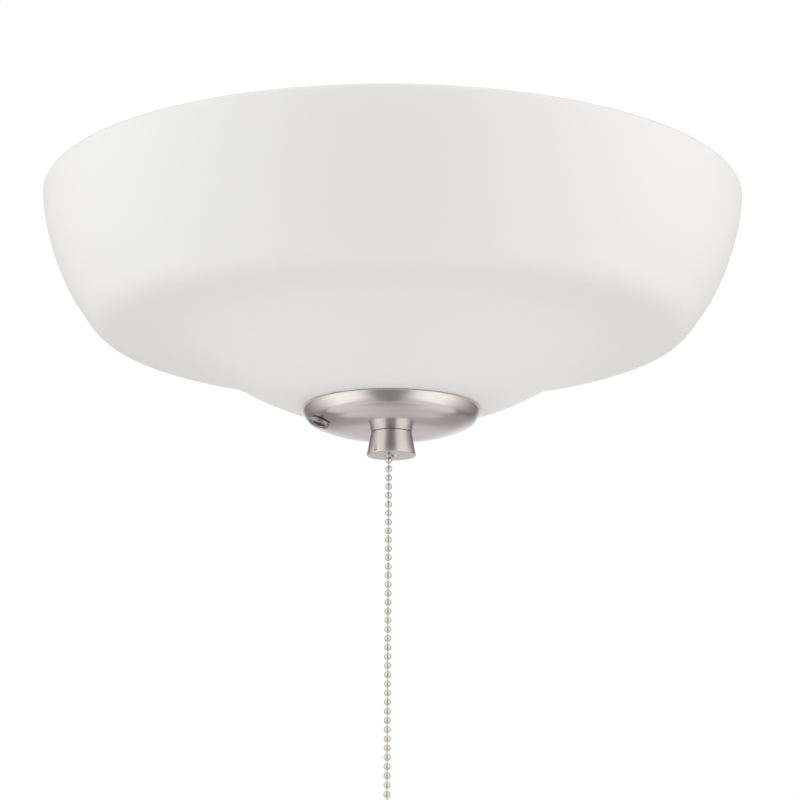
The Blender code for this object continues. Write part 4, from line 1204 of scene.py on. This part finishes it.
class MakePlate(bpy.types.Operator):
    """Make the socket plate with its three bent lugs, and its screws"""

    bl_idname = "light_kit.plate"
    bl_label = "Socket plate"

    def execute(self, context):
        low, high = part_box("socket_plate")
        under = high.z - PLATE_THICKNESS
        section = ring(pipe_hole(), high.x, under, high.z)
        plate = lathe("plate_sheet", section, context.scene.light_kit.fitter.facets, "coated_steel")
        face = reach("lampholder_3")[0] - GAP
        bend = face - LUG_BEND - PLATE_THICKNESS
        outline = self.lug_outline(bend, face, low.z, high.z)
        below, above = under - OVERRUN, high.z + OVERRUN
        windows, lugs, holes = [], [], []
        for azimuth in spread(LUG_AZIMUTH):
            window = prism("cutter", ring(-LUG_WINDOW / 2, LUG_WINDOW / 2, below, above), LUG_WIDTH)
            window.location = polar(bend + LUG_WINDOW / 2, azimuth)
            window.rotation_euler.z = azimuth
            windows.append(window)
            lug = prism("lug", outline, LUG_WIDTH, "coated_steel")
            lug.rotation_euler.z = azimuth
            lugs.append(lug)
            hole = drill(SMALL_SHANK + GAP, bend, face + OVERRUN)
            hole.matrix_world = aim(0.0, azimuth, middle("lampholder_3").z)
            holes.append(hole)
        holes += drills(LARGE_SHANK, below, above, plate_screw_places())
        holes += drills(SMALL_SHANK, below, above, bracket_screw_places())
        holes.append(chain_drill(below, above))
        carve(plate, windows)
        carve(plate, lugs, "UNION")
        carve(plate, holes)
        seat(soften(plate, PLATE_BURR), "fitter", "coated_steel", "socket_plate")
        places = [Matrix.Translation(place) for place in plate_screw_places(under - GAP)]
        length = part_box("plate_screw_1")[1].z - under + GAP
        screws("plate_fixing", "plate_screw", places, LARGE_SHANK, LARGE_HEAD, length)
        return {"FINISHED"}

    def lug_outline(self, bend, face, foot, top):
        """A lug's section: it leaves the disc, bends down and ends at its foot."""
        centre = (bend, top - LUG_BEND - PLATE_THICKNESS)
        outline = [(bend - PLATE_THICKNESS, top)]
        outline += arc(centre, LUG_BEND + PLATE_THICKNESS, 90, 0, BEND_STEPS)
        outline += [(face, foot), (face - PLATE_THICKNESS, foot)]
        outline += arc(centre, LUG_BEND, 0, 90, BEND_STEPS)
        outline.append((bend - PLATE_THICKNESS, top - PLATE_THICKNESS))
        return outline


class MakePipe(bpy.types.Operator):
    """Make the threaded pipe with its nuts and spring washer"""

    bl_idname = "light_kit.pipe"
    bl_label = "Pipe and nuts"

    def execute(self, context):
        low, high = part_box("centre_pipe")
        root = high.x - THREAD_DEPTH
        outline = [(PIPE_BORE, high.z), (root, high.z)]
        outline += thread(high.x, THREAD_DEPTH, high.z - PIPE_LEAD, low.z + PIPE_LEAD, THREAD_PITCH)
        outline += [(root, low.z), (PIPE_BORE, low.z)]
        turned("pipe_rod", outline, FACETS, "zinc_plate", "fitter", "centre_pipe")
        hex_nut("pipe_hex_upper", "pipe_nut_upper", pipe_hole())
        hex_nut("pipe_hex_lower", "pipe_nut_lower", pipe_hole())
        low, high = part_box("lock_washer")
        section = eased(ring(pipe_hole(), high.x, low.z, high.z), WASHER_EDGE)
        washer = lathe("spring_washer", section, RING_FACETS, "zinc_plate")
        split = ring(0.0, high.x + OVERRUN, low.z - OVERRUN, high.z + OVERRUN)
        cut = prism("cutter", split, WASHER_SPLIT, matrix=Matrix.Rotation(-QUARTER / 2, 4, "Z"))
        seat(carve(washer, [cut]), "fitter", "zinc_plate", "lock_washer")
        return {"FINISHED"}


class MakeSwitch(bpy.types.Operator):
    """Make the pull switch, its nut, its bracket and the bracket's screws"""

    bl_idname = "light_kit.switch"
    bl_label = "Pull switch"

    def execute(self, context):
        low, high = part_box("switch_bracket")
        outside = high.y - BRACKET_FOOT
        inside = outside - BRACKET_THICKNESS
        foot_top, under = low.z + BRACKET_THICKNESS, high.z - BRACKET_THICKNESS
        outline = [(-high.y, low.z), (-inside, low.z), (-inside, under), (inside, under)]
        outline += [(inside, low.z), (high.y, low.z), (high.y, foot_top), (outside, foot_top)]
        outline += [(outside, high.z), (-outside, high.z), (-outside, foot_top), (-high.y, foot_top)]
        turn = Matrix.Rotation(QUARTER, 4, "Z")
        bridge = prism("switch_bridge", outline, high.x - low.x, "coated_steel", turn)
        tools = [drill(SWITCH_NECK + GAP, under - OVERRUN, high.z + OVERRUN)]
        tools += drills(SMALL_SHANK, low.z - OVERRUN, foot_top + OVERRUN, bracket_screw_places())
        carve(bridge, tools)
        seat(soften(bridge, BRACKET_BURR), "fitter", "coated_steel", "switch_bracket")
        under_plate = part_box("socket_plate")[1].z - PLATE_THICKNESS - GAP
        places = [Matrix.Translation(place) for place in bracket_screw_places(under_plate)]
        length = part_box("bracket_screw_1")[1].z - under_plate
        screws("bridge_fixing", "bracket_screw", places, SMALL_SHANK, SMALL_HEAD, length)
        low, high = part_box("pull_switch")
        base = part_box("switch_neck_nut")[1].z + GAP + BRACKET_THICKNESS + GAP
        crimp = (high.z - base) / 6
        waist, shoulder = high.x - crimp, high.z - crimp
        section = [(0.0, base + crimp), (SWITCH_BORE, base + crimp)]
        section += [(SWITCH_BORE, low.z), (SWITCH_NECK, low.z)]
        start = low.z + SWITCH_THREAD_DEPTH
        section += thread(SWITCH_NECK, SWITCH_THREAD_DEPTH, start, base, SWITCH_THREAD_PITCH)
        case = [(SWITCH_NECK, base), (waist, base), (high.x, base + crimp), (high.x, shoulder)]
        case += [(waist, shoulder), (waist, high.z), (0.0, high.z)]
        section += eased(case, SWITCH_EDGE, closed=False)
        turned("switch_case", section, CASE_FACETS, "phenolic", "fitter", "pull_switch")
        hex_nut("switch_ring_nut", "switch_neck_nut", SWITCH_NECK + GAP)
        return {"FINISHED"}


class MakeLamps(bpy.types.Operator):
    """Make the lampholders, their brass and their candle lamps"""

    bl_idname = "light_kit.lamps"
    bl_label = "Lampholders and lamps"

    def execute(self, context):
        facets = context.scene.light_kit.lamps.facets
        start = reach("lampholder_3")[0]
        axis = middle("lampholder_3").z
        places = [aim(start, azimuth, axis) for azimuth in spread(LUG_AZIMUTH)]
        for make, name, node, finish in (
            (self.holder, "holder_body", "lampholder", "phenolic"),
            (self.shell, "shell_thread", "screw_shell", "brass"),
            (self.contact, "contact_tongue", "centre_contact", "brass"),
            (self.base, "lamp_cap", "lamp_base", "lamp_cap_metal"),
            (self.bulb, "lamp_bulb", "lamp_envelope", "lamp_glass"),
        ):
            outline, sides = make(*reach(f"{node}_3", start), facets)
            seat_copies(lathe(name, outline, sides, finish), name, node, finish, places)
        lug_inside = start - 2 * GAP - PLATE_THICKNESS
        places = [aim(lug_inside, azimuth, axis) for azimuth in spread(LUG_AZIMUTH)]
        length = reach("holder_screw_3")[1] - lug_inside
        screws("holder_fixing", "holder_screw", places, SMALL_SHANK, SMALL_HEAD, length)
        return {"FINISHED"}

    def holder(self, foot, mouth, radius, facets):
        """A lampholder: a foot, a body with a groove round it and a bore for the shell."""
        bore = reach("screw_shell_3")[2] + GAP
        screw_hole = SMALL_SHANK + GAP
        cone = HOLDER_FOOT_LENGTH + radius - HOLDER_FOOT_RADIUS
        outline = [(0.0, HOLDER_SCREW_DEPTH), (screw_hole, HOLDER_SCREW_DEPTH), (screw_hole, foot)]
        outline += [(HOLDER_FOOT_RADIUS, foot), (HOLDER_FOOT_RADIUS, HOLDER_FOOT_LENGTH), (radius, cone)]
        outline += [(radius - HOLDER_GROOVE * sunk, mouth * along) for along, sunk in HOLDER_GROOVE_SHARES]
        outline += [(radius, mouth), (bore, mouth), (bore, HOLDER_BACK), (0.0, HOLDER_BACK)]
        return eased(outline, HOLDER_EDGE), facets

    def shell(self, foot, mouth, radius, facets):
        """The brass screw shell, rolled with the lamp's thread."""
        outline = thread(radius, SHELL_DENT, foot, mouth, LAMP_THREAD_PITCH)
        wall = SHELL_WALL - SHELL_DENT / 2
        return outline + [(r - wall, z) for r, z in reversed(outline)], facets

    def contact(self, foot, top, radius, facets):
        """The centre contact, a low brass dome."""
        outline = [(0.0, foot), (radius, foot), (radius, (foot + top) / 2)]
        outline += [(radius * CONTACT_CROWN_SHARE, top), (0.0, top)]
        return eased(outline, CONTACT_EDGE), SCREW_FACETS

    def base(self, foot, top, radius, facets):
        """A lamp's metal cap: a contact tip, an insulating cone and a rolled thread."""
        collar = foot + LAMP_TIP_HEIGHT
        nose, cone = LAMP_TIP_SHARES
        outline = [(0.0, foot), (LAMP_TIP_RADIUS * nose, foot)]
        outline += [(LAMP_TIP_RADIUS, foot + LAMP_TIP_HEIGHT / part) for part in (3, 2)]
        outline += [(radius * cone, collar)]
        outline += thread(radius, LAMP_THREAD_DEPTH, collar, top - LAMP_THREAD_END, LAMP_THREAD_PITCH)
        return outline + [(radius, top - LAMP_SKIRT), (radius, top), (0.0, top)], facets

    def bulb(self, neck, tip, radius, facets):
        """A candle lamp's glass, a smooth line through its stations."""
        stations = [(reach("lamp_base_3")[2] - GAP, neck)]
        stations += [(radius * across, neck + (tip - neck) * along) for along, across in LAMP_SHAPE_SHARES]
        return [(0.0, neck)] + smooth_line([*stations, (0.0, tip)], LAMP_SHAPE_STEPS), facets


class MakeStage(bpy.types.Operator):
    """Make the camera, the floor, the world, the cards, the flag and the softboxes"""

    bl_idname = "light_kit.stage"
    bl_label = "Studio"

    def execute(self, context):
        look = context.scene.light_kit.studio
        self.camera(context.scene, look)
        self.floor(look)
        self.world(context.scene, look)
        self.cards(look)
        self.flag(look)
        across, towards, height = SOFTBOX_PLACE
        self.softbox("softbox_left", Vector((-across, towards, height)), look.box_strength, look.left_tint)
        self.softbox("softbox_right", Vector((across, towards, height)), look.box_strength, look.right_tint)
        context.scene.view_settings.view_transform = "Standard"
        return {"FINISHED"}

    def camera(self, scene, look):
        """A camera at the photograph's place and tilt."""
        data = bpy.data.cameras.new("camera")
        data.lens = look.lens
        data.sensor_width = SENSOR_WIDTH
        scene.camera = add("camera", data)
        scene.camera.location = look.place
        turn = Matrix.Rotation(QUARTER + look.pitch, 3, "X") @ Matrix.Rotation(look.roll, 3, "Z")
        scene.camera.rotation_euler = turn.to_euler()

    def floor(self, look):
        """A round pale floor that turns white towards its edge."""
        bm = bmesh.new()
        bmesh.ops.create_circle(bm, cap_ends=True, segments=FLOOR_FACETS, radius=FLOOR_RADIUS)
        bmesh.ops.translate(bm, verts=bm.verts, vec=(0.0, 0.0, look.floor_height))
        paint = Finish("floor_paint", look.floor_tint, 0.8)
        x, y, _ = paint.split(paint.node("ShaderNodeNewGeometry").pick("Position"))
        cloud = paint.noise(paint.place(), 3.0, 3.0)
        paint.set({"Base Color": paint.blend(cloud, paint.shade(0.99), paint.shade(1.01))})
        edge = paint.ease((x * x + y * y).root(), *FLOOR_EDGE) * paint.background_rays()
        white = paint.node("ShaderNodeEmission", None, {"Color": WHITE, "Strength": 1.0})
        surface = Wire(paint, paint.shader.outputs[0])
        paint.show(paint.node("ShaderNodeMixShader", None, {0: edge, 1: surface, 2: white}))
        self.hide_and_stage(to_object(bm, "floor"), paint)

    def world(self, scene, look):
        """Even light for surfaces, and a white background."""
        scene.world = bpy.data.worlds.new("studio")
        scene.world.use_nodes = True
        graph = Graph(scene.world.node_tree)
        graph.tree.nodes.clear()
        seen = graph.background_rays()
        values = {"Color": WHITE, "Strength": look.sky * (1 - seen) + seen}
        background = graph.node("ShaderNodeBackground", None, values)
        graph.feed(graph.node("ShaderNodeOutputWorld").inputs["Surface"], background)

    def cards(self, look):
        side = [(0.0, CARD_FOOT), (look.card_radius, CARD_FOOT), (look.card_radius, CARD_FOOT + CARD_HEIGHT)]
        side += [(r + MM, z) for r, z in reversed(side[1:])] + [(0.0, CARD_FOOT - MM)]
        cards = lathe("cards", side, CARD_FACETS)
        paint = Finish("card_paint", (0.5, 0.5, 0.5), 1.0)
        x, y, z = paint.split(paint.place())
        around = paint.math("ARCTAN2", paint.math("ABSOLUTE", x), 0.0 - y) / math.pi
        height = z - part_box("bottom_cap")[0].z
        rise = paint.math("ARCTAN2", height, (x * x + y * y).root()) / math.pi + 0.5
        behind = paint.ease(around, *CARD_BACK)
        wall = paint.ramp(RING_STOPS, around) * (1 - behind) + paint.ramp(BACK_STOPS, rise) * behind
        ground = look.ground + paint.ramp(GROUND_STOPS, around) * paint.ease(rise, *CARD_GROUND)
        join = paint.ease(rise - CARD_JOIN_LIFT * paint.ease(around, *CARD_FRONT), *CARD_JOIN)
        bright = ground * (1 - join) + wall * join
        hue = paint.blend(bright.held(), look.dark_card, look.bright_card)
        values = {"Color": hue, "Strength": bright * look.card_strength}
        paint.show(paint.node("ShaderNodeEmission", None, values))
        cards.rotation_euler.z = look.card_turn
        self.hide_and_stage(cards, paint, "camera", "diffuse", "shadow", "transmission")

    def flag(self, look):
        """A grey card under the bowl's front that takes light off it, which only diffuse rays meet."""
        start, end = FLAG_REACH
        lay = Matrix.Translation((0.0, (start + end) / 2, FLAG_HEIGHT))
        stretch = Matrix.Diagonal((FLAG_WIDTH, end - start, 1.0, 1.0))
        bm = bmesh.new()
        bmesh.ops.create_grid(bm, size=0.5, matrix=lay @ stretch)
        paint = Finish("flag_paint", (look.flag_grey,) * 3, 0.9)
        self.hide_and_stage(to_object(bm, "flag"), paint, "camera", "glossy", "shadow", "transmission")

    def hide_and_stage(self, piece, paint, *rays):
        """Paint a thing of the stage and hide it from some kinds of rays."""
        piece.data.materials.append(paint.material)
        for kind in rays:
            setattr(piece, f"visible_{kind}", False)

    def softbox(self, name, place, power, tint):
        """A softbox that faces the bowl."""
        data = bpy.data.lights.new(name, "AREA")
        data.energy = power
        data.color = tint
        data.shape = "RECTANGLE"
        data.size, data.size_y = SOFTBOX_SIZE
        lamp = add(name, data)
        lamp.location = place
        lamp.rotation_euler = (SOFTBOX_AIM - place).to_track_quat("-Z", "Y").to_euler()
        lamp.visible_glossy = False


class KitPanel(bpy.types.Panel):
    bl_idname = "VIEW3D_PT_light_kit"
    bl_label = "Light kit"
    bl_space_type = "VIEW_3D"
    bl_region_type = "UI"
    bl_category = "Light kit"

    def draw(self, context):
        layout = self.layout
        for operator in MAKERS:
            layout.operator(operator.bl_idname)
        kit = context.scene.light_kit
        for name in ("glass", "nickel", "chain", "fitter", "lamps", "studio"):
            box = layout.box()
            box.label(text=name.capitalize())
            group = getattr(kit, name)
            for key in group.__annotations__:
                box.prop(group, key)


SETTINGS = (
    GlassSettings, NickelSettings, ChainSettings, FitterSettings,
    LampSettings, StudioSettings, LightKitSettings,
)
MAKERS = (
    MakeStage, MakeBowl, MakeCap, MakeFinial, MakeChain,
    MakePan, MakePlate, MakePipe, MakeSwitch, MakeLamps,
)


def register():
    """Register the settings, the operators and the panel."""
    for item in (*SETTINGS, *MAKERS, KitPanel):
        bpy.utils.register_class(item)
    bpy.types.Scene.light_kit = PointerProperty(type=LightKitSettings)


def unregister():
    """Take them away again."""
    del bpy.types.Scene.light_kit
    for item in reversed((*SETTINGS, *MAKERS, KitPanel)):
        bpy.utils.unregister_class(item)


def main():
    """Register everything and make every piece in order."""
    register()
    for maker in MAKERS:
        group, name = maker.bl_idname.split(".")
        getattr(getattr(bpy.ops, group), name)()


if __name__ == "__main__":
    main()
